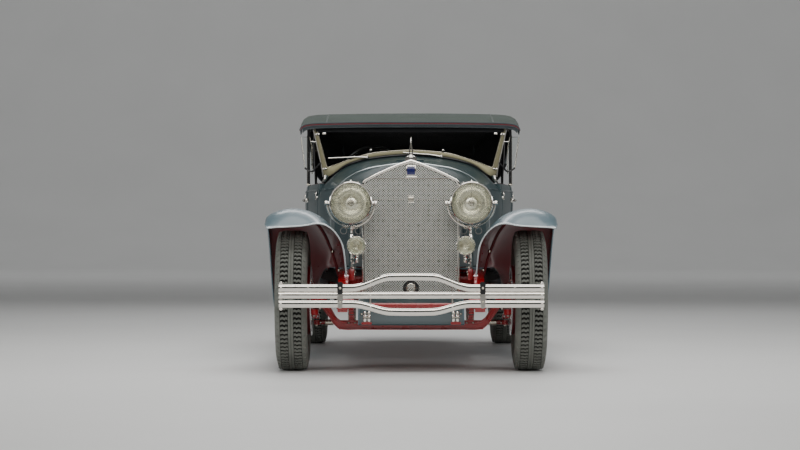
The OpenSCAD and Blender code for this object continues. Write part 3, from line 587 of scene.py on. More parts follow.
_t = tyre_geo(1)
_w = wheel_geo()
for nm, sx_, ds, body in (("front_left", 1, 0, "front_left_wheel"), ("front_right", -1, 0, "front_right_wheel"), ("rear_left", 1, RA, "rear_left_wheel"), ("rear_right", -1, RA, "rear_right_wheel")):
    t = _t if sx_ > 0 else _t.flip_copy()
    w = _w if sx_ > 0 else _w.flip_copy()
    t.shifted(sx_ * WX, ds, ZC).make("tyre_" + nm + "_cover", body, ("tyre_" + nm,), sharp=35)
    w.shifted(sx_ * WX, ds, ZC).make("wheel_" + nm + "_wire", body, ("wheel_" + nm,), "paint_red", sharp=35)


def turned(g, s, z):
    """From a wheel about X to one about the car's length, its outer face to the rear."""
    o = Geo()
    o.v = [(-y, s + x, z + k) for x, y, k in g.v]
    o.f, o.m, o.sm, o.names = g.f, g.m, g.sm, g.names
    return o


turned(_t, 4484, 820).make("spare_tyre_cover", "chassis", ("spare_tyre",), sharp=35)
turned(wheel_geo(False, 20), 4484, 820).make("spare_wheel_wire", "chassis", ("spare_wheel",), "paint_red", sharp=35)

# ---------------------------------------------------------------- front wings
CR = [[0, 969], [100, 962], [200, 938], [300, 896], [400, 838], [500, 765], [600, 685], [700, 605], [800, 535], [900, 478], [1000, 437], [1080, 418]]
XF = [873, 866, 816, 726, 636, 558, 498, 452, 425, 400]
XR = [873, 869, 838, 760, 690, 630, 598, 590, 588, 586]
DF = [-89, -54, -21, 0, -9, -39]
DR = [-75, -34, -8, 0, 0, 0]
GF = [0, 0, 0, 0, 0, 0, 0.15, 0.35, 0.65, 1]
LX = [848, 812, 756, 690, 622, 560, 505, 446, 400, 376]
LZ = [854, 858, 861, 864, 870, 881, 874, 831, 750, 572]


def wing_pt(s, j):
    v = s * s / 119025 if s < 0 else 0
    w = ease(s / 1000)
    c = tab(CR, max(0, s))
    z5 = c + mix(DF[5], DR[5], w)
    z = c + mix(DF[j], DR[j], w) if j < 6 else mix(z5, 612, GF[j])
    wj = w if j < 6 else mix(w, ease((s - 250) / 750), min(1, (j - 5) / 2))
    return [mix(mix(XF[j], XR[j], wj), LX[j], v), s, mix(z, LZ[j], v)]


S1 = np.concatenate([np.linspace(-345, -250, 12), np.linspace(-235, 1078, 70)])
G = np.array([curve([wing_pt(s, j) for j in range(10)], 44) for s in S1])
sgn = -1 if normals(G)[20, 14][2] > 0 else 1
B = offset(G, sgn * 7)
g = Geo()
# the sheet's cut edges and the lip bead below are in the pale bead colour, a painted highlight along the wing's edges
g.sheet(G, B, "blue", "burg", "bead")
edge = [(G[i, 0] + B[i, 0]) / 2 for i in range(len(G))]
lip = [(G[0, j] + B[0, j]) / 2 for j in range(G.shape[1])]
g.tube([(p[0] - 1, p[1], p[2]) for p in edge], 5.5, "blue", 8)
g.tube([(p[0], p[1] + 2, p[2]) for p in lip], 5.0, "bead", 8)
# ribs pressed into the wheel side of the valance
for (z0, s0, s1) in ((650, -120, 260), (700, -160, 230), (750, -190, 200)):
    P = []
    for s in np.linspace(s0, s1, 14):
        row = curve([wing_pt(s, j) for j in range(10)], 60)
        k = int(np.argmin(np.abs(row[30:, 2] - z0))) + 30
        P.append((row[k][0] + 10, s, z0))
    g.tube(P, 5, "burg", 8)
# stay under the wing and its bolts
g.tube(curve([(432, -40, 565), (470, -40, 700), (540, -40, 850), (640, -40, 930), (740, -40, 944)], 16), 9, "burg", 8)
for (x, s, z) in ((432, -40, 600), (470, -40, 712), (560, -40, 880)):
    g.ball((x, s, z), 12, "satin", 10)
g.mirrored()
g.make("front_wings", "chassis", ("front_fenders",), "paint_blue", sharp=60)

# ---------------------------------------------------------------- rear wings
WT = [[1700, 603], [2000, 655], [2400, 705], [2700, 730], [3000, 745], [3300, 745]]
KT = [[600, 0.93], [720, 0.957], [860, 0.985], [1000, 1], [1080, 1], [1150, 0.985]]


def hw(s, st=4320.0, w=745.0):
    if s < 3300:
        return tab(WT, s) * w / 745
    return w * max(0.0, 1 - min(1.0, (s - 3300) / (st - 3300)) ** 2.5) ** (1 / 2.2)


def tuck(z):
    return tab(KT, z)


RP = [[3062, 425], [3095, 500], [3150, 600], [3205, 712], [3300, 842], [3440, 938], [3600, 976], [3720, 978], [3860, 952], [4000, 890], [4120, 792], [4200, 672], [4248, 540], [4272, 430]]
RX = [600, 640, 700, 765, 822, 858, 871, 873]
RD = [16, 5, 0, 3, 18, 44, 74, 100]
rows = []
for i in range(14):
    s, z = RP[i]
    d = np.array([RA - s, ZC - z])
    d /= np.linalg.norm(d)
    e = 0 if i < 8 else (i - 8) / 5
    row = []
    for j in range(8):
        q = RD[j] * (0.6 if i < 2 else 1)
        y, h = s + d[0] * q, z + d[1] * q
        x0 = max(640 if i < 2 else 700 if i < 3 else 600 - 40 * e, 0 if h < 590 else hw(y) * tuck(h) + 1)
        row.append([mix(x0, 873, (RX[j] - 600) / 273), y, h])
    rows.append(row)
rows = np.array([curve(r, 30) for r in rows])
G = np.array([curve(rows[:, j], 64) for j in range(30)]).transpose(1, 0, 2)
sgn = -1 if normals(G)[30, 12][2] > 0 else 1
B = offset(G, sgn * 7)
g = Geo()
# cut edges and the lip bead in the pale bead colour: painted highlight along the wing's edges
g.sheet(G, B, "blue", "burg", "bead")
g.tube([(p[0] - 2, p[1], p[2]) for p in (G[:, -1] + B[:, -1]) / 2], 5.5, "blue", 8)
g.tube(list((G[-1] + B[-1]) / 2), 5.0, "bead", 8)
g.mirrored()
g.make("rear_wings", "chassis", ("rear_fenders",), "paint_blue", sharp=60)

# ---------------------------------------------------------------- running boards
g = Geo()
g.box(600, 862, 1082, 3063, 378, 409, "blue", 3)
g.box(606, 856, 1086, 3059, 408, 411, "mat", 1)
for k in range(20):
    x = 614 + k * 12.4
    g.prism([(x, 411), (x + 1.5, 414.6), (x + 5.5, 414.6), (x + 7, 411)], "s", 1090, 3055, "mat")
g.tube([(863, 1083, 396), (865, 1400, 396), (865, 2800, 396), (863, 3062, 396)], 7, "chrome", 10)
for z in (384, 408):
    g.tube([(865, 1083, z), (865, 3062, z)], 3.5, "chrome", 8)
g.box(587, 597, 1082, 3063, 380, 597, "blue", 2)
g.tube([(598, 1084, 590), (598, 3060, 590)], 4, "blue", 8)
for s in (1150, 1700, 2400, 3000):
    for z in (430, 575):
        g.ball((598, s, z), 7, "satin", 8)
g.mirrored()
g.make("running_board_pair", "chassis", ("running_boards",), "paint_blue")

# ---------------------------------------------------------------- radiator
def shell_line(o):
    h = [(295 - o, 440 + o), (295 - o, 1112), (288 - o * .9, 1134 - o * .4), (277 - o * .6, 1146 - o * .8), (210, 1180 - o), (140, 1212 - o), (70, 1241 - o), (0, 1264 - o * 1.1)]
    return h + [(-x, z) for x, z in reversed(h[:-1])]


g = Geo()
ring_s = [(0, 30), (0, 24), (2, 21), (6, 20), (14, 20.5), (18.5, 23), (19.5, 30), (19.5, 174), (1, 174), (0, 172)]
P = []
for o, s in ring_s:
    L = shell_line(o)
    L = L + [L[0]]
    P.append([(x, s, z) for x, z in L])
g.grid(P + [P[0]], "chrome", True)
g.lathe([(33, 0), (34, 3), (34, 8), (30, 11), (33, 14), (33, 42), (30, 46), (22, 49), (16, 52), (12, 57), (0, 58)], (0, 90, 1237), (0, 0, 1), "chrome", 40)
for k in range(24):
    a = 2 * math.pi * k / 24
    g.tube([(33 * math.cos(a), 90 + 33 * math.sin(a), 1253), (33 * math.cos(a), 90 + 33 * math.sin(a), 1277)], 1.6, "chrome", 6)
for sg in (-1, 1):
    g.tube(curve([(sg * 7, 90, 1292), (sg * 9, 90, 1318), (sg * 5, 90, 1345), (sg * 1.5, 90, 1368)], 10), [5, 4.6, 4.2, 3.9, 3.6, 3.4, 3.2, 3.1, 3, 2.8], "chrome", 10)
g.lathe([(0, -6), (3, -4), (4.6, 0), (3, 10), (1.6, 26), (0.6, 33), (0, 34)], (0, 90, 1368), (0, 0, 1), "chrome", 16)
# enamel plate, left blank, in its frame
g.box(-29, 29, 15.5, 21, 1166, 1228, "chrome", 2)
g.box(-24, 24, 14.4, 16, 1171, 1223, "enamel", 1)
g.box(-36, 36, 14.5, 24, 1152, 1163, "chrome", 2.5)
g.box(-16, 16, 20.5, 24, 1008, 1040, "satin", 2)
g.box(-21, 21, 20, 24, 1042, 1047, "chrome", 1)
g.box(-21, 21, 20, 24, 1001, 1006, "chrome", 1)
# crank hole rings
g.lathe([(33, 4), (36, 0), (45, 0), (48, 4), (48, 20), (33, 20)], (0, 16, 491), (0, 1, 0), "black", 48, closed=True)
g.lathe([(0, 12), (20, 12), (24, 6), (27, 3), (32, 6), (33, 16), (0, 16)], (0, 16, 491), (0, 1, 0), "chrome", 40)
for k in range(6):
    a = math.pi * k / 3
    g.ball((40 * math.cos(a), 16, 491 + 40 * math.sin(a)), 3, "satin", 8)
g.make("radiator_shell_plated", "chassis", ("radiator_shell",), "chrome", sharp=32)

INN = [(276, 459), (276, 1106), (269, 1127), (258, 1131), (210, 1160), (140, 1193), (70, 1222), (0, 1244)]


def top_z(x):
    T = sorted([[p[0], p[1]] for p in INN if p[1] > 1100])
    T = [[0, 1244], [70, 1222], [140, 1193], [210, 1160], [258, 1133], [277, 1110]]
    ax = min(abs(x), 276.9)
    for a, b in zip(T[:-1], T[1:]):
        if ax <= b[0]:
            return a[1] + (b[1] - a[1]) * (ax - a[0]) / (b[0] - a[0])
    return 1110


def clipped(d, pitch, s, r):
    """Wires at 45 degrees, cut to the shell's inner line."""
    out = []
    k = -1300
    while k < 2200:
        pts = []
        for x in np.arange(-277, 277.1, 3.0):
            z = k + d * x
            inside = 459 <= z <= top_z(x) and abs(x) <= 277
            if inside:
                pts.append((x, z))
            elif len(pts) > 0:
                break
        if len(pts) > 1:
            out.append([(pts[0][0], s, pts[0][1]), (pts[-1][0], s, pts[-1][1])])
        k += pitch
    return out


g = Geo()
for d, s in ((1, 27.5), (-1, 29.8)):
    for seg in clipped(d, 15.0, s, 1.5):
        if abs(seg[0][0] - seg[1][0]) > 3:
            (xa, sa, za), (xb, sb, zb) = seg
            e = 1.6
            ux, uz = (-e * 0.7071 * d, e * 0.7071)
            A_ = [(xa + ux, sa + 0.5, za + uz), (xa + ux * .55, sa, za + uz * .55), (xa - ux * .55, sa, za - uz * .55), (xa - ux, sa + 0.5, za - uz)]
            B_ = [(xb + ux, sb + 0.5, zb + uz), (xb + ux * .55, sb, zb + uz * .55), (xb - ux * .55, sb, zb - uz * .55), (xb - ux, sb + 0.5, zb - uz)]
            g.grid(np.array([A_, B_]), "mesh", False)
g.tube([(-277, 25, 1023), (277, 25, 1023)], 2.2, "chrome", 8)
g.tube([(-240, 25, 1149), (240, 25, 1149)], 2.0, "chrome", 8)
g.make("radiator_stone_guard", "chassis", ("radiator_grille",), "chrome", normals=False)
o = paint_node("radiator_core", "dark")
g = Geo()
for z in np.arange(470, 1225, 9.0):
    w = 270
    if z > 1100:
        w = max(8, 270 * (1244 - z) / 140)
    g.box(-min(w, 270), min(w, 270), 52, 61, z, z + 1.6, "dark", 0)
for x in np.arange(-264, 265, 12.0):
    g.box(x, x + 4, 50, 61, 462, min(1108, top_z(x) - 14), "dark", 0)
g.make("core_fins", "chassis", slot="black_steel")

# ---------------------------------------------------------------- apron below the radiator
A = []
prof = curve([(16, 440), (-60, 434), (-140, 410), (-220, 366), (-280, 310), (-301, 284)], 40)
for s, z in prof:
    A.append([(x, s, z - 1.0 + (2.2 * math.cos((s + 60) / 22) if s > -150 and s < 5 else 0)) for x in np.linspace(-309, 309, 30)])
A = np.array(A)
g = Geo()
sgn = -1 if normals(A)[10, 10][2] > 0 else 1
# painted shade: the apron is the wings' paint, given the darker body blue for the shade it sits in
g.sheet(A, offset(A, sgn * 4), "body", "body", "body")
g.tube([(-310, -300, 284), (310, -300, 284)], 5, "body", 8)
for sg in (-1, 1):
    g.tube([(sg * 309, s, z) for s, z in prof], 4.5, "blue", 8)
    for s, z in ((-30, 441), (-150, 412), (-250, 342)):
        g.ball((sg * 292, s, z), 7, "satin", 8)
g.make("front_apron_skin", "chassis", ("front_apron",), "paint_blue")

# ---------------------------------------------------------------- lamps
def lamp(x, s, z, r, d, mount_z):
    """A lamp facing -s: its rim is at s-d. Returns the shell and the reflector."""
    g = Geo()
    prof = [(0, 0), (r * .12, -d * .004), (r * .35, -d * .03), (r * .52, -d * .08), (r * .66, -d * .145), (r * .77, -d * .235), (r * .86, -d * .35), (r * .92, -d * .47), (r * .955, -d * .62), (r * .97, -d * .8),
            (r * .97, -d * .84), (r * .99, -d * .85), (r * .998, -d * .875), (r * .998, -d * .95), (r * .99, -d * .985), (r * .965, -d * .998), (r * .94, -d * .992), (r * .915, -d * .97), (r * .9, -d * .95)]
    g.lathe(prof, (x, s, z), (0, 1, 0), "chrome", 72)
    ref = [(r * .9, -d * .95), (r * .89, -d * .88), (r * .84, -d * .76), (r * .72, -d * .6), (r * .55, -d * .47), (r * .35, -d * .4), (r * .16, -d * .37), (0, -d * .365)]
    g.lathe(ref, (x, s, z), (0, 1, 0), "mirror", 64)
    return g


g = lamp(358, 0, 1000, 127.5, 215, 850)
# bulb, its shield and the cross stays seen through the lens
g.ball((358, -128, 1000), 17, "ivory", 16)
g.rod((358, -84, 1000), (358, -118, 1000), 13, "chrome", 16)
g.tube([(358, -150, 1000), (358, -150, 1092)], 1.8, "satin", 6)
g.tube([(270, -150, 1000), (446, -150, 1000)], 1.8, "satin", 6)
g.lathe([(0, -4), (15, -2), (19, 4), (17, 5), (0, 0)], (358, -152, 1000), (0, 1, 0), "satin", 20)
for sg in (-1, 1):
    g.rod((358 + sg * 120, -100, 1000), (358 + sg * 139, -100, 1000), 11, "chrome", 16)
g.rod((358, -205, 1127), (358, -188, 1131), 6, "chrome", 12)
g.mirrored()
g.make("headlamp_pair", "chassis", ("headlamps",), "chrome", sharp=30)
g = lamp(325, -105, 747, 57.5, 85, 690)
g.ball((325, -152, 747), 9, "ivory", 12)
for sg in (-1, 1):
    g.ball((325 + sg * 16, -158, 750), 5, "ivory", 10)
g.mirrored()
g.make("side_lamp_pair", "chassis", ("driving_lamps",), "chrome", sharp=30)
g = Geo()


def lens(x, z, r, s0, dome, flutes):
    R_ = np.linspace(0.0001, r, 22)
    T_ = np.linspace(0, 2 * math.pi, 97)[:-1]
    fr, bk = [], []
    for q in R_:
        row, rb = [], []
        for t in T_:
            xx = q * math.cos(t)
            w = 0.5 * math.cos(xx * 2 * math.pi / flutes) * (1 if q < r * 0.93 else 0)
            row.append((x + xx, s0 - dome * (1 - (q / r) ** 2) + w, z + q * math.sin(t)))
            rb.append((x + xx, s0 + 3.5 - dome * (1 - (q / r) ** 2), z + q * math.sin(t)))
        fr.append(row)
        bk.append(rb)
    g.grid(fr + bk[::-1], "lens", wrap=True)


lens(358, 1000, 115.5, -205, 9, 14)
lens(325, 747, 51.5, -184, 6, 9)
g.mirrored()
g.make("lamp_glasses", "chassis", ("lamp_lenses",), "glass", weld=True)
g = Geo()
g.lathe([(0, 0), (20, 0), (22, 4), (16, 14), (15, 30), (13, 60), (13, 230), (16, 236), (16, 244), (13, 250), (13, 286), (17, 292), (17, 300), (0, 302)], (358, -100, 555), (0, 0, 1), "chrome", 28)
g.box(338, 369, -126, -74, 541, 609, "red", 4)
for s in (-116, -84):
    g.ball((338, s, 575), 7, "satin", 10)
arc = [(358 + 142 * math.cos(a), -100, 1000 + 142 * math.sin(a)) for a in np.linspace(math.pi, 2 * math.pi, 44)]
g.tube(arc, 7.5, "chrome", 12)
for sg in (-1, 1):
    g.rod((358 + sg * 138, -100, 1000), (358 + sg * 157, -100, 1000), 14, "chrome", 20, 3)
    g.lathe([(17, -4), (21, -4), (21, 4), (17, 4)], (358 + sg * 44, -104, 835), (0, 1, 0), "chrome", 28, closed=True)
    g.rod((358 + sg * 30, -100, 848), (358 + sg * 44, -100, 856), 5, "chrome", 10)
g.lathe([(0, 0), (24, 0), (26, 8), (22, 16), (0, 18)], (358, -100, 846), (0, 0, 1), "chrome", 28)
g.tube(curve([(358, -100, 668), (345, -115, 664), (330, -135, 668), (325, -142, 684), (325, -142, 696)], 14), 8.5, "chrome", 12)
g.lathe([(0, 0), (14, 1), (17, 10), (11, 18), (10, 26), (16, 34), (12, 44), (0, 46)], (325, -142, 646), (0, 0, 1), "chrome", 20)
for z in (640, 612, 586):
    g.lathe([(0, 0), (18, 0), (20, 5), (18, 10), (0, 10)], (348, -100, z), (0, 0, 1), "chrome", 20)
g.mirrored()
g.make("lamp_stanchions", "chassis", ("lamp_brackets",), "chrome", sharp=35)

# ---------------------------------------------------------------- front bumper
g = Geo()


def bar(c0, c1, h):
    xs = np.concatenate([np.linspace(-764, -360, 8), np.linspace(-350, -130, 20), np.linspace(-115, 115, 11), np.linspace(130, 350, 20), np.linspace(360, 764, 8)])
    sec = [(0, -h), (-3.5, -h + .6), (-6.8, -h * .8), (-8.4, -h * .4), (-8.9, 0), (-8.4, h * .4), (-6.8, h * .8), (-3.5, h - .6), (0, h), (1.2, h - 1), (1.2, -h + 1)]
    rows = []
    for x in xs:
        t = ease((345 - abs(x)) / 225)
        z = mix(c0, c1, t) + math.copysign(7.0, c1 - c0) * t * (math.cos(min(1.0, abs(x) / 260) * math.pi / 2) - 0.45) if c0 != c1 else c0
        k = min(1.0, (766 - abs(x)) / 5 + 0.35)
        rows.append([(x, -601 + a * k, z + b * (0.85 + 0.15 * k)) for a, b in sec])
    g.grid(np.array(rows), "chrome", wrap=True)
    for r in (rows[0], rows[-1]):
        g.add(r, [tuple(range(len(r)))], "chrome")


bar(505, 566, 21.5)
bar(463, 463, 19.5)
bar(413, 370, 21.5)
for sg in (-1, 1):
    X = lambda v: sg * v
    # vertical bars at the ends with a bolt and ball ends
    g.tube([(X(752), -592, 388), (X(752), -592, 530)], 8, "chrome", 12)
    g.ball((X(752), -592, 386), 11, "chrome", 14)
    g.ball((X(752), -592, 532), 11, "chrome", 14)
    for z in (413, 463, 505):
        g.ball((X(752), -609, z), 7.5, "chrome", 12, 0.5, (0, 1, 0))
    g.rod((X(752), -598, 440), (X(752), -560, 440), 9, "chrome", 12)
    # clamps that carry the bars on their irons
    g.prism([(X(396), 470), (X(426), 470), (X(428), 532), (X(420), 540), (X(402), 540), (X(394), 532)], "s", -613.5, -586, "black")
    g.prism([(X(394), 470), (X(428), 470), (X(424), 396), (X(418), 388), (X(404), 388), (X(398), 396)], "s", -614.5, -586, "chrome")
    g.ball((X(411), -614, 505), 8, "satin", 12, 0.5, (0, 1, 0))
    g.ball((X(411), -615, 425), 7, "satin", 12, 0.5, (0, 1, 0))
    g.prism([(-590, 424), (-590, 470), (-520, 466), (-446, 456), (-440, 448), (-440, 430), (-446, 424)], "x", X(431), X(445), "black")
    for s in (-545, -470):
        g.ball((X(446), s, 446), 9, "satin", 12, 0.5, (1, 0, 0))
    # small links between the bars
    for z0, z1 in ((425, 458), (470, 512)):
        g.rod((X(236), -598, z0 - 12), (X(236), -598, z1 + 14), 6, "chrome", 10)
    for z in (531, 463, 397):
        g.ball((X(236), -609.5, z), 5.5, "chrome", 10, 0.5, (0, 1, 0))
    g.ball((X(596), -609.5, 505), 5, "chrome", 10, 0.5, (0, 1, 0))
g.make("bumper_bars", "chassis", ("front_bumper",), "chrome", sharp=38)

# ---------------------------------------------------------------- bonnet
def bf(t):
    return [[26, 1257 + 15.5 * t], [mix(70, 90, t), mix(1239, 1272, t)], [mix(140, 180, t), mix(1211, 1260, t)], [mix(208, 262, t), mix(1181, 1246, t)], [mix(262, 347, t), mix(1152, 1217, t)],
            [mix(284, 420, t), mix(1136, 1173, t)], [mix(292, 462, t), mix(1116, 1132, t)]]


def bs(t):
    return [[mix(294, 470, t), mix(1108, 1122, t)], [mix(295, 500, t), mix(1000, 1050, t)], [mix(295, 513, t), mix(900, 950, t)], [mix(296, 514, t), mix(780, 800, t)], [mix(297, 508, t), 616]]


A = np.array([[(x, mix(181, 1325, t), z) for x, z in curve(bf(t), 34)] for t in np.linspace(0, 1, 30)])
N = np.zeros_like(A)
for i in range(len(A)):
    d = np.gradient(A[i][:, [0, 2]], axis=0)
    d /= np.linalg.norm(d, axis=1, keepdims=True)
    N[i][:, 0], N[i][:, 2] = d[:, 1], -d[:, 0]
Bn = A + N * 6
Bn[:, 0, 0] = 26
g = Geo()
g.sheet(A, Bn, "body", "body", "body")
# edge beads in the pale bead colour, partly painted highlight along the bonnet's edges
g.tube([tuple(p + np.array([-1.5, 0, 0])) for p in A[:, -1]], 3.5, "bead", 8)
g.tube([(p[0], p[1] - 2, p[2] - 1) for p in A[-1][3:]], 3.0, "bead", 6)
# the lid's leaf of the long hinge
g.grid(np.array([[(x + (12 * (s - 181) / 1144 if x < 20 else 0), s, z + 15.5 * (s - 181) / 1144) for x, z in ((13, 1256), (34, 1252), (34, 1250), (13, 1250))] for s in np.linspace(184, 1322, 24)]), "chrome", wrap=True)
for s in (420, 760, 1100):
    t = (s - 181) / 1144
    P = bf(t)
    e = P[-1]
    g.tube(curve([(e[0] - 4, s - 30, e[1] + 14), (e[0] + 1, s - 10, e[1] + 12), (e[0] + 2, s + 12, e[1] + 12), (e[0] - 4, s + 30, e[1] + 14)], 10), 4, "chrome", 8)
g.make("bonnet_lid_left_skin", "bonnet_lid_left", ("bonnet_top_left",), "paint_blue", sharp=50)
g.flip_copy().make("bonnet_lid_right_skin", "bonnet_lid_right", ("bonnet_top_right",), "paint_blue", sharp=50)
g = Geo()
A = np.array([[(x, mix(181, 1325, t), z) for x, z in curve(bs(t), 40)] for t in np.linspace(0, 1, 30)])
B = A.copy()
B[:, :, 0] -= 6
g.sheet(A, B, "body", "body", "body")
g.tube([tuple(p) for p in A[:, 0]], 3, "body", 8)
for k in range(30):
    s = 300 + k * 29.5
    t = (s - 181) / 1144
    P = curve(bs(t), 60)
    rows = []
    zs = np.linspace(720, 985, 16)
    for q, z in enumerate(zs):
        i = int(np.argmin(np.abs(P[:, 1] - z)))
        x0 = P[i][0]
        h = math.sin(math.pi * min(1, max(0, (q + 0.0) / 15))) ** 0.35
        rows.append([(x0 - 1.5, s - 9, z), (x0 + 3.2 * h, s - 5, z), (x0 + 6.6 * h, s + 1, z), (x0 + 7.6 * h, s + 6, z), (x0 + 7.0 * h, s + 8.5, z), (x0 - 1.5, s + 9, z)])
    g.grid(np.array(rows), "body")
for s in (330, 1180):
    t = (s - 181) / 1144
    x0 = bs(t)[1][0]
    g.box(x0 - 3, x0 + 8, s - 20, s + 20, 1046, 1060, "chrome", 3)
    g.rod((x0 + 6, s, 1050), (x0 + 24, s, 1050), 5, "chrome", 10)
    g.ball((x0 + 24, s, 1050), 9, "chrome", 12)
g.mirrored()
g.make("bonnet_side_panels", "chassis", ("bonnet_sides",), "paint_blue", sharp=50)
g = Geo()
g.tube([(0, 177, 1258), (0, 1329, 1258)], 6.5, "chrome", 12)
for k in range(19):
    s = 190 + k * 60
    g.rod((0, s, 1258), (0, s + 44, 1258), 7.6, "chrome", 14, 1)
g.make("bonnet_hinge_rod", "chassis", ("bonnet_hinge",), "chrome")

# ---------------------------------------------------------------- cowl
CA = [[0, 1279], [90, 1274], [180, 1261], [262, 1247], [347, 1217], [420, 1174], [462, 1134], [500, 1070], [515, 950], [515, 800], [505, 600]]
CB = [[0, 1337], [133, 1330], [267, 1313], [370, 1288], [440, 1259], [505, 1210], [555, 1160], [597, 1110], [612, 1000], [601, 800], [568, 600]]


def cowl_row(t, n=90):
    w = ease(t) * 0.35 + t * 0.65
    L = [(mix(a[0], b[0], w), mix(a[1], b[1], w)) for a, b in zip(CA, CB)]
    full = [(-x, z) for x, z in L[:0:-1]] + L
    return [(x, mix(1331, 1740, t), z) for x, z in curve(full, n)]


A = np.array([cowl_row(t) for t in np.linspace(0, 1, 20)])
N = np.zeros_like(A)
for i in range(len(A)):
    d = np.gradient(A[i][:, [0, 2]], axis=0)
    d /= np.linalg.norm(d, axis=1, keepdims=True)
    N[i][:, 0], N[i][:, 2] = d[:, 1], -d[:, 0]
B = A + 20 * N
B[:, 0, 2] = B[:, -1, 2] = 600
g = Geo()
g.sheet(A, B, "body", "lining", "body")
# front bead in the pale bead colour, partly painted highlight along the cowl's edge
g.tube([(p[0], p[1] + 2, p[2]) for p in A[0]], 3.5, "bead", 6)
F0 = [(p[0] * 0.975, 1338, mix(600, p[2], 0.982)) for p in A[0]]
g.prism([(p[0], p[2]) for p in F0], "s", 1334, 1346, "black")
# a low scuttle vent and the belt moulding
for sg in (-1, 1):
    P = []
    for i in range(20):
        row = A[i][45:] if sg > 0 else A[i][:45]
        k = int(np.argmin(np.abs(row[:, 2] - 1112)))
        P.append((row[k][0] + sg * 1.5, row[k][1], 1112))
    g.tube(P, 5, "body", 8)
g.box(-90, 90, 1470, 1560, 1296, 1303, "body", 3)
g.make("cowl_skin", "chassis", ("cowl",), "paint_blue", sharp=50)

# ---------------------------------------------------------------- body and doors
def side_pt(s, z):
    k = tuck(z)
    return [hw(s) * k, s if s < 3300 else 3300 + (s - 3300) * mix(1, k, 0.5), z]


fine = list(np.linspace(1740, 1790, 4)) + list(np.linspace(1790, 2427, 26))[1:] + list(np.linspace(2427, 2493, 4))[1:] + list(np.linspace(2493, 3147, 26))[1:]
tail = [3147 + (4320 - 3147) * (1 - (1 - u) ** 2.2) for u in np.linspace(0, 1, 64)][1:]
SS = fine + tail
ZS = [600, 621, 643] + list(np.linspace(643, 1150, 22))[1:]


def low(s):
    if s < 3239 or s > 4012:
        return 600.0
    z = 419 + math.sqrt(max(0.0, 480 ** 2 - (s - 3683) ** 2))
    return mix(z, 600, ease((s - 3985) / 27)) if s > 3985 else max(600.0, z)


half = []
for s in SS:
    zl = low(s)
    half.append([side_pt(s, zl + (z - 600) / 550 * (1150 - zl)) for z in ZS])
half = np.array(half)
other = half[::-1][1:].copy()
other[:, :, 0] *= -1
A = np.concatenate([half, other])
N = np.zeros_like(A)
for j in range(A.shape[1]):
    d = np.gradient(A[:, j, :2], axis=0)
    d /= np.linalg.norm(d, axis=1, keepdims=True)
    N[:, j, 0], N[:, j, 1] = -d[:, 1], d[:, 0]
N[0, :, :2] = (-1, 0)
N[-1, :, :2] = (1, 0)
if N[5, 5, 0] > 0:
    N = -N
    N[0, :, :2] = (-1, 0)
    N[-1, :, :2] = (1, 0)
B = A + 44 * N
k0 = A.shape[0]
keep = np.ones((k0 - 1, A.shape[1] - 1), bool)
cells = SS + SS[::-1][1:]
for i in range(k0 - 1):
    c = (cells[i] + cells[i + 1]) / 2
    if 1790 < c < 2427 or 2493 < c < 3147:
        keep[i, 2:] = False
g = Geo()
g.sheet(A, B, "body", "hide", "body", keep)
rail_top = [(p + q) / 2 for p, q in zip(A[:, -1], B[:, -1])]
# padded roll along the top edge of the fixed body, and the belt moulding
seg = [i for i in range(k0) if cells[i] >= 3147]
g.tube([(rail_top[i][0], rail_top[i][1], 1146) for i in seg], 11, "hide", 12)
zj = int(np.argmin(np.abs(np.array(ZS) - 1112)))
g.tube([tuple(A[i, zj] - N[i, zj] * 1.5) for i in seg], 5, "body", 8)
for a, b in ((1741, 1789), (2428, 2492)):
    for sg in (-1, 1):
        g.tube([(sg * (hw(s) * tuck(1112) + 1.5), s, 1112) for s in np.linspace(a, b, 5)], 5, "body", 8)
# wheel housings
for sg in (-1, 1):
    rr = []
    for a in np.linspace(math.radians(22.5), math.radians(157), 30):
        rr.append([(sg * x, RA + r * math.cos(a), ZC + r * math.sin(a)) for x, r in ((566, 498), (686, 498), (686, 482), (582, 482), (582, 300), (566, 300))])
    g.grid(np.array(rr), "lining", wrap=True)
# hinge leaves for the doors
for s, x in ((1785, hw(1785) + 10), (3152, hw(3152) + 9)):
    for sg in (-1, 1):
        for z in (730, 900, 1070):
            g.rod((sg * x, s, z - 26), (sg * x, s, z - 2), 6.5, "chrome", 12)
            g.box(sg * (x - 9) if sg > 0 else sg * x, sg * x if sg > 0 else sg * (x - 9), s - (6 if s < 2000 else -1), s + (1 if s < 2000 else 8), z - 24, z - 4, "chrome", 1)
g.make("body_tub_skin", "chassis", ("body_tub",), "paint_blue", sharp=42)


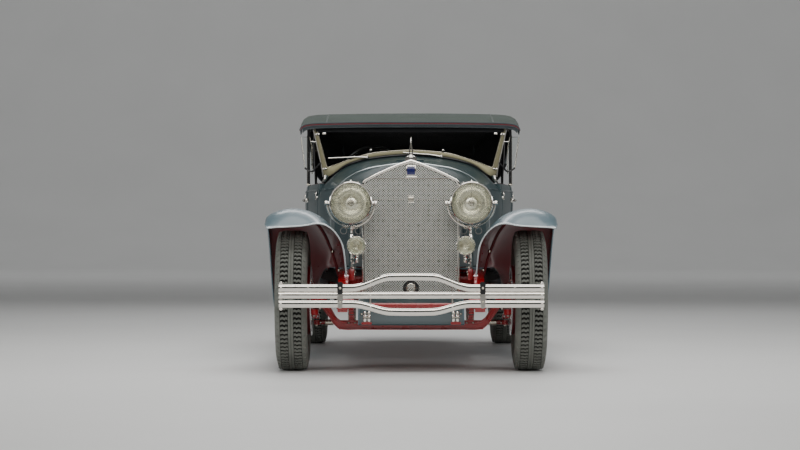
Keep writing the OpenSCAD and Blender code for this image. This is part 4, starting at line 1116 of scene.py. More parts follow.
def door(name, s0, s1, body, sg, node, hinge_s, hx, grip, gdir):
    S_ = np.linspace(s0, s1, 26)
    Z_ = np.linspace(650, 1150, 24)
    A = np.array([[(hw(s) * tuck(z), s, z) for z in Z_] for s in S_])
    B = A.copy()
    B[:, :, 0] -= 44
    g = Geo()
    g.sheet(A, B, "body", "hide", "body")
    g.tube([(hw(s) * tuck(1112) + 1.5, s, 1112) for s in S_], 5, "body", 8)
    g.tube([(hw(s) * tuck(1148) - 22, s, 1146) for s in S_[1:-1]], 11, "hide", 12)
    rim = [(hw(s) * tuck(654) - 0.5, s, 654) for s in S_] + [(hw(s1) * tuck(z) - 0.5, s1 - 3, z) for z in Z_[1:]]
    g.tube([(hw(s0) * tuck(z) - 0.5, s0 + 3, z) for z in Z_[::-1]] + rim, 3, "body", 8)
    # inside: a pocket, a pull and a lever
    for z in (760, 800):
        g.tube([(hw(s) * tuck(z) - 47, s, z) for s in np.linspace(s0 + 90, s1 - 90, 12)], 3, "hide", 8)
    g.box(hw(grip) - 60, hw(grip) - 44, grip - 40, grip + 40, 980, 1000, "chrome", 3)
    # outside handle
    x0 = hw(grip)
    g.lathe([(0, 0), (19, 0), (20, 3), (14, 8), (9, 12), (8, 24), (0, 26)], (x0 - 1, grip, 1050), (1, 0, 0), "chrome", 24)
    g.tube(curve([(x0 + 22, grip, 1050), (x0 + 27, grip + gdir * 22, 1049), (x0 + 27, grip + gdir * 60, 1047), (x0 + 24, grip + gdir * 88, 1046)], 12),
           [8, 8.5, 8.5, 8, 8, 7.5, 7.5, 7, 7, 7, 6.5, 5], "chrome", 12)
    for z in (730, 900, 1070):
        g.rod((hx, hinge_s, z + 2), (hx, hinge_s, z + 26), 6.5, "chrome", 12)
        a, b = (hinge_s, hinge_s + 22) if hinge_s < s0 else (hinge_s - 22, hinge_s)
        g.box(hx - 8, hx - 1, a, b, z + 4, z + 24, "chrome", 1.5)
    if sg < 0:
        g = g.flip_copy()
    g.make(name, body, (node,), "paint_blue", sharp=45)


for sg, sd in ((1, "left"), (-1, "right")):
    door("front_door_" + sd + "_skin", 1797, 2420, "front_door_" + sd, sg, "door_front_" + sd, 1785, 628.5, 2370, -1)
    door("rear_door_" + sd + "_skin", 2500, 3140, "rear_door_" + sd, sg, "door_rear_" + sd, 3152, 755, 2550, 1)

# ---------------------------------------------------------------- shelves beside the engine
g = Geo()
SH = [(284, 184), (330, 460), (380, 740), (430, 1020), (484, 1324), (570, 1324), (570, 1070), (520, 950), (490, 850), (452, 700), (432, 560), (418, 400), (404, 250), (396, 184)]
g.prism(SH, "z", 601, 608, "blue")
for s in (260, 620, 980):
    g.ball((tab([[182, 350], [1330, 540]], s), s, 608), 8, "satin", 10, 0.5)
g.mirrored()
g.make("engine_shelf_plates", "chassis", ("engine_shelves",), "paint_blue")

# ---------------------------------------------------------------- folding top
ZR = [[1640, 1562], [2000, 1620], [2300, 1648], [2500, 1657], [3000, 1668], [3500, 1655], [3800, 1618], [3950, 1575], [4080, 1500], [4170, 1410], [4230, 1310], [4265, 1225], [4280, 1185]]
ZB = [[1640, 1478], [1900, 1530], [2700, 1560], [2900, 1548], [3000, 1512], [3300, 1408], [3600, 1300], [3850, 1200], [3950, 1166], [4280, 1162]]
HT = [[1640, 731], [3000, 731], [3300, 724], [3500, 712]]


def top_hw(s):
    return tab(HT, s) if s < 3500 else hw(s, 4288, 736)


def top_row(s, n):
    w, t = top_hw(s), tab(ZR, min(s, 4280))
    b = min(tab(ZB, s), t - 12)
    k = min(1.0, (t - b) / 95)
    e = t - 57 * k
    H = [(w * 0.992, b), (w, mix(b, e, .33)), (w, mix(b, e, .66)), (w, e), (w * .985, t - 34 * k), (w * .94, t - 18 * k), (w * .83, t - 8 * k), (w * .55, t - 3 * k), (0, t)]
    L = [(x, z) for x, z in H] + [(-x, z) for x, z in H[-2::-1]]
    # even spacing in number along each stretch, so that rows match from front to back
    out = []
    for i in range(len(L) - 1):
        m_ = n[i] if i < 8 else n[15 - i]
        for q in range(m_):
            out.append((i, q / m_))
    T = [[i, L[i][0], L[i][1]] for i in range(len(L))]
    P = [(tab(T, i + u, 1), s, tab(T, i + u, 2)) for i, u in out] + [(L[-1][0], s, L[-1][1])]
    return P


NS = [3, 3, 3, 5, 5, 6, 9, 14]
BOWS = [1652, 2450, 3000, 3500, 3930]
SROOF = np.concatenate([np.linspace(1640, 3900, 96), np.linspace(3918, 4160, 18), np.linspace(4172, 4260, 12), np.linspace(4266, 4282, 6)])
G = np.array([top_row(s, NS) for s in SROOF])
# the cloth hangs a little between its bows and wrinkles towards the corners
rng = np.random.default_rng(7)
ph = rng.uniform(0, 6.28, 8)
for i, s in enumerate(SROOF):
    k = int(np.searchsorted(BOWS, s))
    if 0 < k < len(BOWS):
        a, b = BOWS[k - 1], BOWS[k]
        u = (s - a) / (b - a)
        sag = 4.0 * math.sin(math.pi * u) * min(1.0, (b - a) / 500)
    else:
        sag = 0
    for j in range(G.shape[1]):
        x = G[i, j, 0]
        w = top_hw(s)
        flat = max(0.0, 1 - (abs(x) / w) ** 6)
        G[i, j, 2] -= sag * flat
        wr = 0.5 * math.sin(s / 61 + ph[0] + x / 300) + 0.4 * math.sin(s / 37 + ph[1] - x / 190) + 0.5 * math.sin(x / 83 + ph[2])
        G[i, j, 2] += wr * 0.9 * flat - 0.9 * flat
        if abs(x) > w * 0.97 and s < 3900:
            G[i, j, 0] -= math.copysign(1.2 + 1.1 * math.sin(s / 52 + ph[3]) + 0.6 * math.sin(s / 23 + ph[4]), x) * 0.8
C = (G[1:, 1:] + G[:-1, :-1]) / 2
keep = ~((C[:, :, 1] > 3990) & (np.abs(C[:, :, 0]) < 294) & (C[:, :, 2] > 1330) & (C[:, :, 2] < 1440))
nn = normals(G)
sg_ = -1 if nn[40, G.shape[1] // 2][2] > 0 else 1
I = offset(G, sg_ * 2.6)
g = Geo()
g.sheet(G, I, "canvas", "lining", "bind", keep)
top = g.make("folding_top_canvas", "chassis", ("folding_top",), "fabric", sharp=60)
TOP_G = G


def top_z(s, x):
    """Height of the canvas over a point."""
    i = int(np.argmin(np.abs(SROOF - s)))
    j = int(np.argmin(np.abs(TOP_G[i, 20:-20, 0] - x))) + 20
    return TOP_G[i, j, 2]


g = Geo()
# header: light piping, red stripe and grey binding round the front edge
F0, F1 = G[0], G[2]
g.tube([(p[0], 1640, p[2] - 4) for p in F0[8:-8]], 5.5, "bind", 10)
g.tube([(p[0] * 1.002, 1638, p[2] - 12) for p in F0[9:-9]], 3.2, "piping", 8)
g.tube([(p[0] * 0.998, 1638, p[2] - 19) for p in F0[10:-10]], 4.2, "bind", 8)
hb = []
for p in F0[12:-12]:
    hb.append([(p[0] * .985, 1642, p[2] - 6), (p[0] * .985, 1641, p[2] - 34), (p[0] * .98, 1668, p[2] - 36), (p[0] * .98, 1670, p[2] - 8)])
g.grid(np.array(hb), "bind", wrap=True)
for sg in (-1, 1):
    E = G[:, 0] if sg > 0 else G[:, -1]
    P = [(p[0] + sg * 0.5, p[1], p[2] + 2) for p in E[:112]]
    g.tube(P, 4.5, "bind", 8)
    # seams over the roof
    j = int(np.argmin(np.abs(G[30, :, 0] - sg * 560)))
    for d in (-3, 3):
        g.tube([(G[i, j, 0] + d, G[i, j, 1], G[i, j, 2] + 0.6) for i in range(0, 100, 2)], 1.2, "bind", 6)
    # straps down the rear curtain
    for x in (sg * 508,):
        P = []
        for i in range(84, len(SROOF)):
            j = int(np.argmin(np.abs(G[i, :, 0] - x)))
            if abs(G[i, j, 0] - x) < 30:
                q = G[i, j] - sg_ * nn[i, j] * 2.2
                P.append(q)
        if len(P) > 4:
            P = np.array(P)
            A_ = P + np.array([sg * 16, 0, 0])
            B_ = P - np.array([sg * 16, 0, 0])
            g.grid(np.array([A_, B_]), "bind")
# band round the rear window
for zz, xx in ((1441, None), (1329, None)):
    P = []
    for x in np.linspace(-296, 296, 25):
        k = int(np.argmin(np.abs(np.array([tab(ZR, s) for s in SROOF[90:]]) - zz))) + 90
        P.append((x, SROOF[k] + 3, zz))
    g.tube(P, 5, "bind", 8)
for sg in (-1, 1):
    P = []
    for zz in np.linspace(1329, 1441, 8):
        k = min(range(90, len(SROOF)), key=lambda i: abs(tab(ZR, SROOF[i]) - zz))
        P.append((sg * 296, SROOF[k] + 3, zz))
    g.tube(P, 5, "bind", 8)
g.make("top_bindings", "chassis", (), "fabric", sharp=60)

# bows and irons of the top
g = Geo()


def bow_bar(s, pts, w, d, m="black"):
    """A bent flat bow along pts in (x, z); w is along the car, d is its depth."""
    P = curve(pts, 60)
    T = np.gradient(P, axis=0)
    T /= np.linalg.norm(T, axis=1, keepdims=True)
    rows = []
    for p, t in zip(P, T):
        n_ = np.array([-t[1], t[0]])
        c = min(3, d / 3)
        ring = []
        for a, b in ((-w / 2, -d / 2 + c), (-w / 2 + c, -d / 2), (w / 2 - c, -d / 2), (w / 2, -d / 2 + c), (w / 2, d / 2 - c), (w / 2 - c, d / 2), (-w / 2 + c, d / 2), (-w / 2, d / 2 - c)):
            q = p + n_ * b
            ring.append((q[0], s + a, q[1]))
        rows.append(ring)
    g.grid(np.array(rows), m, wrap=True)
    g.add(rows[0], [tuple(range(8))], m)
    g.add(rows[-1], [tuple(range(8))], m)


bow_bar(2450, [(-702, 1154), (-702, 1350), (-702, 1540), (-690, 1572), (-650, 1594), (-400, 1612), (0, 1621), (400, 1612), (650, 1594), (690, 1572), (702, 1540), (702, 1350), (702, 1154)], 19, 19)
for s, zl in ((3000, 1546), (3500, 1422)):
    bow_bar(s, [(-681, zl), (-681, 1558), (-664, 1582), (-625, 1598), (-400, 1617), (0, 1625), (400, 1617), (625, 1598), (664, 1582), (681, 1558), (681, zl)], 23, 17)
for sg in (-1, 1):
    X = lambda v: sg * v
    g.rod((X(712), 2450, 1156), (X(712), 2450, 1500), 3, "chrome", 8)
    g.prism([(X(711), 1156), (X(715), 1156), (X(715), 1500), (X(711), 1500)], "s", 2441, 2459, "chrome")
    for a, b in (((682, 3340, 1165), (684, 3000, 1550)), ((682, 3340, 1165), (682, 3500, 1430)), ((684, 3000, 1556), (700, 2455, 1540))):
        g.rod((X(a[0]), a[1], a[2]), (X(b[0]), b[1], b[2]), 8.5, "black", 12)
    for p in ((683, 3000, 1550), (682, 3500, 1428), (697, 2455, 1541)):
        g.rod((X(p[0] - 9), p[1], p[2]), (X(p[0] + 9), p[1], p[2]), 12, "satin", 16)
    g.rod((X(668), 3340, 1165), (X(686), 3340, 1165), 23, "satin", 28, 4)
    g.rod((X(662), 3340, 1140), (X(686), 3340, 1140), 15, "satin", 20, 3)
    # saddle that the strut stands in
    g.box(X(690) if sg > 0 else X(716), X(716) if sg > 0 else X(690), 2430, 2470, 1151, 1164, "satin", 3)
g.make("top_bow_set", "chassis", ("top_bows",), "black_steel", sharp=40)

# ---------------------------------------------------------------- windscreen
OB = [[-540, 1200], [-505, 1222], [-440, 1272], [-370, 1300], [-267, 1325], [-133, 1342], [0, 1349], [133, 1342], [267, 1325], [370, 1300], [440, 1272], [505, 1222], [540, 1200]]
IB = [[-545, 1262], [-469, 1291], [-402, 1314], [-268, 1355], [-134, 1371], [0, 1378], [134, 1371], [268, 1355], [402, 1314], [469, 1291], [545, 1262]]


def loop(kind, o=0.0):
    """The outer or inner line of the screen frame, grown by o."""
    if kind == "out":
        P = [(x * (1 + o / 560), tab(OB, x) - o) for x in np.linspace(-540, 540, 41)]
        P += [(mix(575, 640, t) + o, mix(1212, 1510, t)) for t in np.linspace(0, 1, 13)]
        P += [(x, 1524 + o) for x in np.linspace(636 + o, -636 - o, 21)]
        P += [(-mix(640, 575, t) - o, mix(1510, 1212, t)) for t in np.linspace(0, 1, 13)]
    else:
        P = [(x * (1 + o / 560), tab(IB, x) - o) for x in np.linspace(-540, 540, 41)]
        P += [(mix(550, 612, t) + o, mix(1266, 1498, t)) for t in np.linspace(0, 1, 13)]
        P += [(x, 1502 + o) for x in np.linspace(609 + o, -609 - o, 21)]
        P += [(-mix(612, 550, t) - o, mix(1498, 1266, t)) for t in np.linspace(0, 1, 13)]
    return P


g = Geo()
rows = []
for kind, o, s in (("out", -3, 1700), ("out", -.8, 1700.8), ("out", 0, 1703), ("out", 0, 1725), ("out", -3, 1728), ("in", 4, 1728), ("in", 0, 1725), ("in", 0, 1703), ("in", 1, 1700.8), ("in", 3.5, 1700)):
    rows.append([(x, s, z) for x, z in loop(kind, o)])
g.grid(np.array(rows + rows[:1]), "nickel", wrap=True)
# a bright inner bead and the rubber at the foot
g.tube([(x, 1700, z) for x, z in loop("in", 4)], 2.6, "satin", 8, closed=True)
g.tube([(x, 1706, tab([[-540, 1178], [-505, 1212], [-440, 1259], [-370, 1288], [-267, 1313], [-133, 1330], [0, 1337], [133, 1330], [267, 1313], [370, 1288], [440, 1259], [505, 1212], [540, 1178]], x) + 5) for x in np.linspace(-520, 520, 61)], 7, "black", 8)
for sg in (-1, 1):
    X = lambda v: sg * v
    # stanchions, their feet and wing nuts
    g.tube(curve([(X(574), 1716, 1196), (X(580), 1717, 1240), (X(600), 1717, 1340), (X(640), 1717, 1516)], 20), 9.5, "chrome", 14)
    g.tube(curve([(X(552), 1716, 1222), (X(556), 1717, 1204), (X(563), 1718, 1186), (X(574), 1718, 1166)], 10), [15, 15, 14.5, 14, 13.5, 13, 12.5, 12, 12, 11.5], "chrome", 16)
    g.lathe([(0, 0), (20, 1), (23, 5), (20, 10), (14, 13), (0, 14)], (X(571), 1716, 1164), (X(0.74), 0, 0.67), "chrome", 24)
    for z, x in ((1250, 583), (1480, 632)):
        g.rod((X(x - 14), 1700, z), (X(x - 14), 1690, z), 8, "chrome", 14)
        g.rod((X(x - 14), 1692, z), (X(x - 14), 1680, z), 4, "chrome", 10)
        g.box(min(X(x - 30), X(x + 2)), max(X(x - 30), X(x + 2)), 1682, 1687, z - 4, z + 4, "chrome", 2)
    # header catches
    g.box(min(X(560), X(584)), max(X(560), X(584)), 1690, 1700, 1478, 1492, "chrome", 3)
    # bracket of the wind wing
    g.tube(curve([(X(596), 1712, 1290), (X(622), 1712, 1262), (X(650), 1716, 1232), (X(680), 1719, 1240), (X(702), 1719, 1256)], 16), 6, "black", 10)
    g.rod((X(618), 1717, 1430), (X(664), 1719, 1432), 6, "chrome", 12)
    g.tube([(X(652), 1719, 1215), (X(700), 1719, 1250), (X(728), 1719, 1462), (X(668), 1719, 1462), (X(655), 1719, 1400)], 2.8, "satin", 8, closed=True)
# dark strip in the lining colour over the screen's top rail under the header: painted shade
g.box(-628, 628, 1690, 1699, 1494, 1530, "lining", 3)
# wipers
for xp, zp, x1, z1 in ((-286, 1326, -545, 1316), (208, 1332, -46, 1354)):
    g.rod((xp, 1704, zp), (xp, 1686, zp), 12, "chrome", 20)
    g.ball((xp, 1686, zp), 10, "chrome", 14, 0.6, (0, 1, 0))
    q = (mix(xp, x1, .55), 1691, mix(zp, z1, .55) + 5)
    g.tube(curve([(xp, 1688, zp), (mix(xp, x1, .3), 1686, mix(zp, z1, .3) + 6), q], 14), [5, 5, 4.8, 4.6, 4.4, 4.2, 4, 3.8, 3.6, 3.4, 3.2, 3.1, 3, 3], "chrome", 8)
    g.rod((mix(xp, x1, .12), 1693, zp + (z1 - zp) * .12 + 5), (x1, 1693, z1 + 5), 3.6, "chrome", 8)
    g.rod((mix(xp, x1, .12), 1698, zp + (z1 - zp) * .12 + 5), (x1, 1698, z1 + 5), 3, "black", 6)
for x in (-260, 221):
    g.rod((x, 1700, 1375), (x, 1690, 1375), 9, "chrome", 14)
    g.ball((x, 1689, 1375), 9, "chrome", 12, 0.7, (0, 1, 0))
g.make("screen_frame_plated", "chassis", ("windshield_frame",), "nickel", sharp=38)
g = Geo()
A = np.array([[(mix(x * 1.008, x * 605 / 545, t), 1711.5, mix(tab(IB, x) - 4, 1500, t)) for t in np.linspace(0, 1, 8)] for x in np.linspace(-540, 540, 41)])
B = A.copy()
B[:, :, 1] = 1716.5
g.sheet(A, B, "glass", "glass", "glass")
for sg in (-1, 1):
    W_ = [(652, 1215), (700, 1250), (728, 1462), (668, 1462), (655, 1400)]
    g.prism([(sg * x, z) for x, z in W_], "s", 1716.5, 1721.5, "glass")
g.make("screen_and_wind_wing_glass", "chassis", ("window_glass",), "glass", normals=True)

# ---------------------------------------------------------------- dashboard
g = Geo()
DB = [(552, 1020), (560, 1080), (522, 1130), (460, 1186), (380, 1232), (240, 1270), (120, 1286), (0, 1292)]
DL = DB + [(-x, z) for x, z in DB[-2::-1]]
DL = [tuple(p) for p in curve(DL, 90)]
bot = [(x, 1020 + 8 * math.sin(math.pi * (x + 552) / 1104)) for x in np.linspace(-552, 552, 40)][1:-1]
ringd = DL + bot
cx, cz = 0, 1140
rows = []
for o, s in ((0, 1702), (0, 1716), (-2, 1719), (-6, 1721)):
    rows.append([(x + o * (x - cx) / 560, s, z + o * (z - cz) / 140) for x, z in ringd])
g.grid(np.array(rows), "wood", wrap=True)
g.add([(x, 1721, z) for x, z in [(p[0], p[2]) for p in rows[-1]]], [tuple(range(len(ringd)))], "wood", False)
g.add([(p[0], 1702, p[2]) for p in rows[0]], [tuple(range(len(ringd)))], "black", False)
for x, z, r in ((-330, 1165, 40), (-150, 1195, 34), (-60, 1195, 34), (0, 1120, 46), (60, 1195, 34), (150, 1195, 34), (330, 1165, 40)):
    g.lathe([(r - 6, 0), (r - 6, 6), (r, 8), (r + 3, 5), (r + 3, 0)], (x, 1720, z), (0, 1, 0), "satin", 36)
    g.lathe([(0, 2.5), (r - 6, 2.5)], (x, 1720, z), (0, 1, 0), "ivory", 36)
    g.lathe([(0, 5), (4, 5), (4, 2.5)], (x, 1720, z), (0, 1, 0), "black", 14)
    g.prism([(x - 1.5, z - 6), (x + 1.5, z - 6), (x + 0.5, z + r * 0.62), (x - 0.5, z + r * 0.62)], "s", 1722.7, 1723.6, "black")
    for k in range(12):
        a = k * math.pi / 6
        c_, s_ = math.cos(a), math.sin(a)
        q0, q1 = r * 0.66, r * 0.78
        P = [(x + q0 * c_ - s_, z + q0 * s_ + c_), (x + q1 * c_ - s_, z + q1 * s_ + c_), (x + q1 * c_ + s_, z + q1 * s_ - c_), (x + q0 * c_ + s_, z + q0 * s_ - c_)]
        g.prism(P, "s", 1722.6, 1723.2, "black")
for x in (-260, -210, 210, 260):
    g.lathe([(9, 0), (9, 4), (5, 6), (4, 18), (9, 20), (11, 26), (9, 31), (0, 32)], (x, 1720, 1075), (0, 1, 0), "satin", 20)
g.make("dashboard_panel", "chassis", ("dashboard",), "wood", sharp=40)

# ---------------------------------------------------------------- steering column and wheel
g = Geo()
ax = np.array([0, 1100, 630.0])
ax /= np.linalg.norm(ax)
c0 = np.array([-245, 2150, 1230.0])
base = np.array([-245, 1050, 600.0])
g.tube([base, base + ax * 1190], 20, "black", 20)
for d in (0, 620, 1140):
    g.tube([base + ax * d, base + ax * (d + 34)], 26, "satin", 24)
g.box(-298, -192, 982, 1108, 542, 658, "iron", 14)
g.rod((-298, 1045, 572), (-369, 1045, 572), 24, "iron", 24)
g.box(-312, -300, 1000, 1090, 560, 640, "iron", 4)
for s in (1000, 1090):
    for z in (560, 640):
        g.ball((-300, s, z), 8, "satin", 10)
# levers below the wheel's rim
for x in (-1, 1):
    g.tube([c0 + np.array([0, 0, 0]) - ax * 62, c0 - ax * 60 + np.array([x * 120, 0, 0])], 4, "satin", 8)
    g.ball(tuple(c0 - ax * 60 + np.array([x * 124, 0, 0])), 9, "black", 12)
g.make("steering_column_set", "chassis", ("steering_column",), "black_steel", sharp=38)
g = Geo()
u = np.array([1, 0, 0.0])
w = np.cross(ax, u)
g.tube([c0 + 203 * (math.cos(t) * u + math.sin(t) * w) for t in np.linspace(0, 2 * math.pi, 97)[:-1]], 11.6, "black", 16, closed=True)
for k in range(24):
    t = 2 * math.pi * k / 24
    p = c0 + 192.5 * (math.cos(t) * u + math.sin(t) * w) - ax * 3
    g.ball(tuple(p), 5, "black", 8)
for a in (45, 135, 225, 315):
    t = math.radians(a)
    d = math.cos(t) * u + math.sin(t) * w
    P = [c0 + d * q + ax * h for q, h in ((20, -14), (70, -11), (130, -6), (202, 0))]
    g.tube(curve(P, 12), [8, 8, 7.8, 7.4, 7, 6.8, 6.6, 6.4, 6.4, 6.6, 7, 7.6], "satin", 12)
g.lathe([(0, -40), (26, -40), (30, -34), (30, -16), (32, -8), (32, 4), (27, 9), (18, 12), (17, 15), (0, 15)], tuple(c0), tuple(ax), "satin", 32)
g.lathe([(0, 14.9), (16, 14.9), (15, 15), (0, 15)], tuple(c0), tuple(ax), "black", 24)
g.make("steering_wheel_rim", "driver_wheel", ("steering_wheel",), "steering_rim", sharp=38)

# ---------------------------------------------------------------- seats
def pad(W, cs, cz, a, b, tilt, pleats, face, groove=6.5, ex=6.0, n_sec=72, crown=10.0):
    """A crowned cushion W each way across. Its section is a x b about (cs, cz); channels are sewn on the face at that angle."""
    xs = []
    step = 2 * W / pleats
    for k in range(pleats):
        for u in (0.0, 0.07, 0.2, 0.38, 0.5, 0.62, 0.8, 0.93):
            xs.append(-W + (k + u) * step)
    xs = [-W] + [-W + W * 0.004, -W + W * 0.012] + xs[1:] + [W - W * 0.012, W - W * 0.004, W]
    rows = []
    ct, st = math.cos(math.radians(tilt)), math.sin(math.radians(tilt))
    for x in xs:
        e = max(0.0, 1 - (abs(x) / W) ** 14) ** (1 / 3.0)
        e = 0.25 + 0.75 * e if abs(x) < W else 0.12
        ph_ = ((x + W) / step) % 1.0
        d = min(ph_, 1 - ph_)
        inner = abs(x) < W - step * 0.4
        gr = groove * math.exp(-(d / 0.09) ** 2) if inner else 0.0
        puff = crown * 0.35 * math.sin(math.pi * ph_)
        row = []
        for k in range(n_sec):
            t = 2 * math.pi * k / n_sec
            c_, s_ = math.cos(t), math.sin(t)
            p = math.copysign(abs(c_) ** (2 / ex * 1.25), c_) * a
            q = math.copysign(abs(s_) ** (2 / ex * 1.25), s_) * b
            on = max(0.0, math.cos(t - face)) ** 0.6
            cr = crown * on * max(0.0, 1 - (abs(x) / W) ** 4)
            f = (cr + puff * on - gr * on)
            p += f * math.cos(face)
            q += f * math.sin(face)
            p *= mix(1, e, .25) if e < 1 else 1
            q *= mix(1, e, .35) if e < 1 else 1
            row.append((x, cs + p * ct - q * st, cz + p * st + q * ct))
        rows.append(row)
    g = Geo()
    g.grid(np.array(rows), "hide", wrap=True)
    for r in (rows[0], rows[-1]):
        c = np.mean(np.array(r), axis=0)
        g.add(list(r) + [c], [(k, (k + 1) % n_sec, n_sec) for k in range(n_sec)], "hide")
    return g, rows


def piping(g, rows, idx, r=3.4):
    for k in idx:
        g.tube([tuple(row[k]) for row in rows[3:-3]], r, "hide", 8)


def seat(name, node, W, c0, c1, zb, zt, back_s, back_z, bw, bh, thick):
    g, rows = pad(W, (c0 + c1) / 2, (zb + zt) / 2 - 3, (c1 - c0) / 2, (zt - zb) / 2 - 4, 2.0, 14, math.pi / 2)
    piping(g, rows, (31, 5))
    a = g.make(name + "_cushion", "chassis", (node,), "leather", sharp=60)
    g, rows = pad(bw, back_s, back_z, thick, bh, -8.0, 14, math.pi)
    piping(g, rows, (14, 22))
    b = g.make(name + "_backrest", "chassis", (node,), "leather", sharp=60)


seat("front_seat", "front_seat", 578, 2136, 2590, 724, 842, 2634, 960, 588, 152, 46)
seat("rear_seat", "rear_seat", 538, 3196, 3706, 742, 870, 3758, 972, 538, 140, 52)
g = Geo()
# seat frames, the front bench's base and its back panel
g.box(-568, 568, 2164, 2598, 620, 716, "hide", 4)
g.box(-566, 566, 2166, 2596, 640, 700, "hide", 2)
for x in np.linspace(-500, 500, 6):
    g.tube([(x, 2163, 640), (x, 2163, 708)], 3, "hide", 8)
A = np.array([[(x, 2684 + 18 * (1 - (z - 640) / 460) * 0 + (z - 640) * 0.02 + (3 * (1 - (x / 580) ** 8)), z) for z in np.linspace(640, 1100, 14)] for x in np.linspace(-580, 580, 30)])
B = A.copy()
B[:, :, 1] -= 9
g.sheet(A, B, "hide", "hide", "hide")
g.tube([(-560, 2704, 1010), (560, 2704, 1010)], 8, "satin", 12)
for x in (-560, 0, 560):
    g.rod((x, 2692, 1010), (x, 2706, 1010), 10, "satin", 12)
g.tube([(-588, 2664, 1106), (588, 2664, 1106)], 24, "hide", 20)
g.box(-540, 540, 3200, 3700, 719, 744, "hide", 3)
g.tube([(-530, 3800, 1104), (530, 3800, 1104)], 26, "hide", 20)
g.make("seat_frames", "chassis", (), "leather", sharp=45)

# ---------------------------------------------------------------- floor
g = Geo()
FL = [(-470, 1352), (-500, 1700), (-520, 1800), (-585, 2400), (-625, 3130), (625, 3130), (585, 2400), (520, 1800), (500, 1700), (470, 1352)]
g.prism(FL, "z", 601.5, 613, "boards")
CP = [(x * .985, mix(s, 2200, .004)) for x, s in FL]
rows = []
for t in np.linspace(0, 1, 40):
    s = mix(1358, 3108, t)
    w = tab([[1352, 466], [1700, 496], [1800, 516], [2400, 580], [3130, 620]], s)
    rows.append([(x * w, s, 618.4 + 0.8 * math.sin(s / 47) * math.sin(x * 9)) for x in np.linspace(-1, 1, 30)])
g.grid(np.array(rows), "carpet")
g.grid(np.array([[(p[0], p[1], 613) for p in r] for r in (rows[0], rows[-1])]), "carpet")
for r in (rows[0], rows[-1]):
    g.tube([(p[0], p[1], 616) for p in r], 3, "carpet", 6)
for sg in (-1, 1):
    g.tube([(r[0][0] * sg * -1, r[0][1], 616) for r in rows], 3, "carpet", 6)
g.box(-554, 554, 3113, 3129, 619, 716, "carpet", 3)
g.prism([(-553, 3114), (-553, 3700), (-498, 3958), (-300, 4156), (300, 4156), (498, 3958), (553, 3700), (553, 3114)], "z", 699, 715, "boards")
# pedals and the two levers in the middle
for x in (-330, -245, -160):
    g.tube(curve([(x, 1440, 622), (x, 1430, 700), (x, 1462, 768)], 10), 7, "iron", 10)
    g.box(x - 32, x + 32, 1456, 1468, 746, 806, "mat", 4)
for x, s, zt_ in ((-10, 1900, 905), (-70, 1860, 940)):
    g.tube(curve([(x, s - 60, 622), (x, s - 30, 740), (x - 4, s, zt_)], 14), [9, 8.6, 8.2, 8, 7.6, 7.3, 7, 7, 7, 7, 7, 7, 7, 7], "satin", 12)
    g.ball((x - 4, s, zt_ + 6), 17, "black", 16)
    g.lathe([(0, 0), (34, 0), (30, 10), (16, 16), (0, 16)], (x, s - 62, 619), (0, 0, 1), "black", 24)
g.make("floor_set", "chassis", ("floor_boards",), "wood", sharp=40)

# ---------------------------------------------------------------- frame, axles and springs
RAIL = [(-484, 375), (-488, 410), (-468, 440), (-300, 545), (-100, 590), (60, 600), (3160, 600), (3330, 650), (3500, 685), (3700, 695), (3880, 672), (4060, 597), (4380, 566),
        (4380, 500), (4100, 512), (3900, 560), (3700, 590), (3500, 578), (3330, 530), (3160, 470), (60, 470), (-100, 478), (-280, 450), (-400, 375), (-460, 362)]
g = Geo()
g.prism(RAIL, "x", 371, 429, "red")
# flanges of the pressed channel on its outer face
for a, b in ((60, 3100),):
    g.box(429, 430, a, b, 590, 600, "red", 0)
for s in np.arange(150, 3100, 240):
    for z in (490, 580):
        g.ball((429.5, s, z), 6, "red", 8, 0.6, (1, 0, 0))
g.rod((364, -455, 398), (436, -455, 398), 19, "red", 20)
g.ball((437, -455, 398), 11, "satin", 12, 0.6, (1, 0, 0))
# outriggers in black enamel: painted shade where the frame's red would be
for s in (1120, 1780, 2460, 3040):
    g.prism([(430, 482), (582, 532), (582, 558), (430, 558)], "s", s - 14, s + 14, "black")
g.box(112, 371, 1332, 1388, 487, 558, "red", 5)
g.mirrored()
g.box(-371, 371, 202, 258, 487, 558, "red", 5)
for s in (2460, 3120):
    g.box(-371, 371, s - 28, s + 28, 549, 595, "red", 5)
g.box(-371, 371, 3662, 3718, 612, 678, "red", 5)
g.box(-371, 371, 4332, 4378, 507, 558, "red", 5)
g.rod((-371, -452, 400), (371, -452, 400), 15, "red", 20)
g.make("frame_rails", "chassis", ("frame",), "paint_red", bevel=2.0, sharp=40)
g = Geo()
AX = [(-556, 388), (-530, 388), (-470, 288), (-430, 244), (430, 244), (470, 288), (530, 388), (556, 388), (556, 452), (520, 449), (450, 320), (410, 289), (-410, 289), (-450, 320), (-520, 449), (-556, 452)]
g.prism(AX, "s", -11, 11, "red")
BOT = curve([(-540, 384), (-500, 330), (-462, 276), (-425, 246), (-300, 243), (0, 242), (300, 243), (425, 246), (462, 276), (500, 330), (540, 384)], 60)
TOPP = curve([(-522, 446), (-490, 392), (-450, 322), (-410, 291), (-300, 288), (0, 288), (300, 288), (410, 291), (450, 322), (490, 392), (522, 446)], 60)
for P, h in ((BOT, 7), (TOPP, -7)):
    ring = [[(x, a, z + b) for a, b in ((-24, 0), (24, 0), (24, h), (10, h * 1.5), (-10, h * 1.5), (-24, h))] for x, z in P]
    g.grid(np.array(ring), "red", wrap=True)
    for r in (ring[0], ring[-1]):
        g.add(r, [tuple(range(6))], "red")
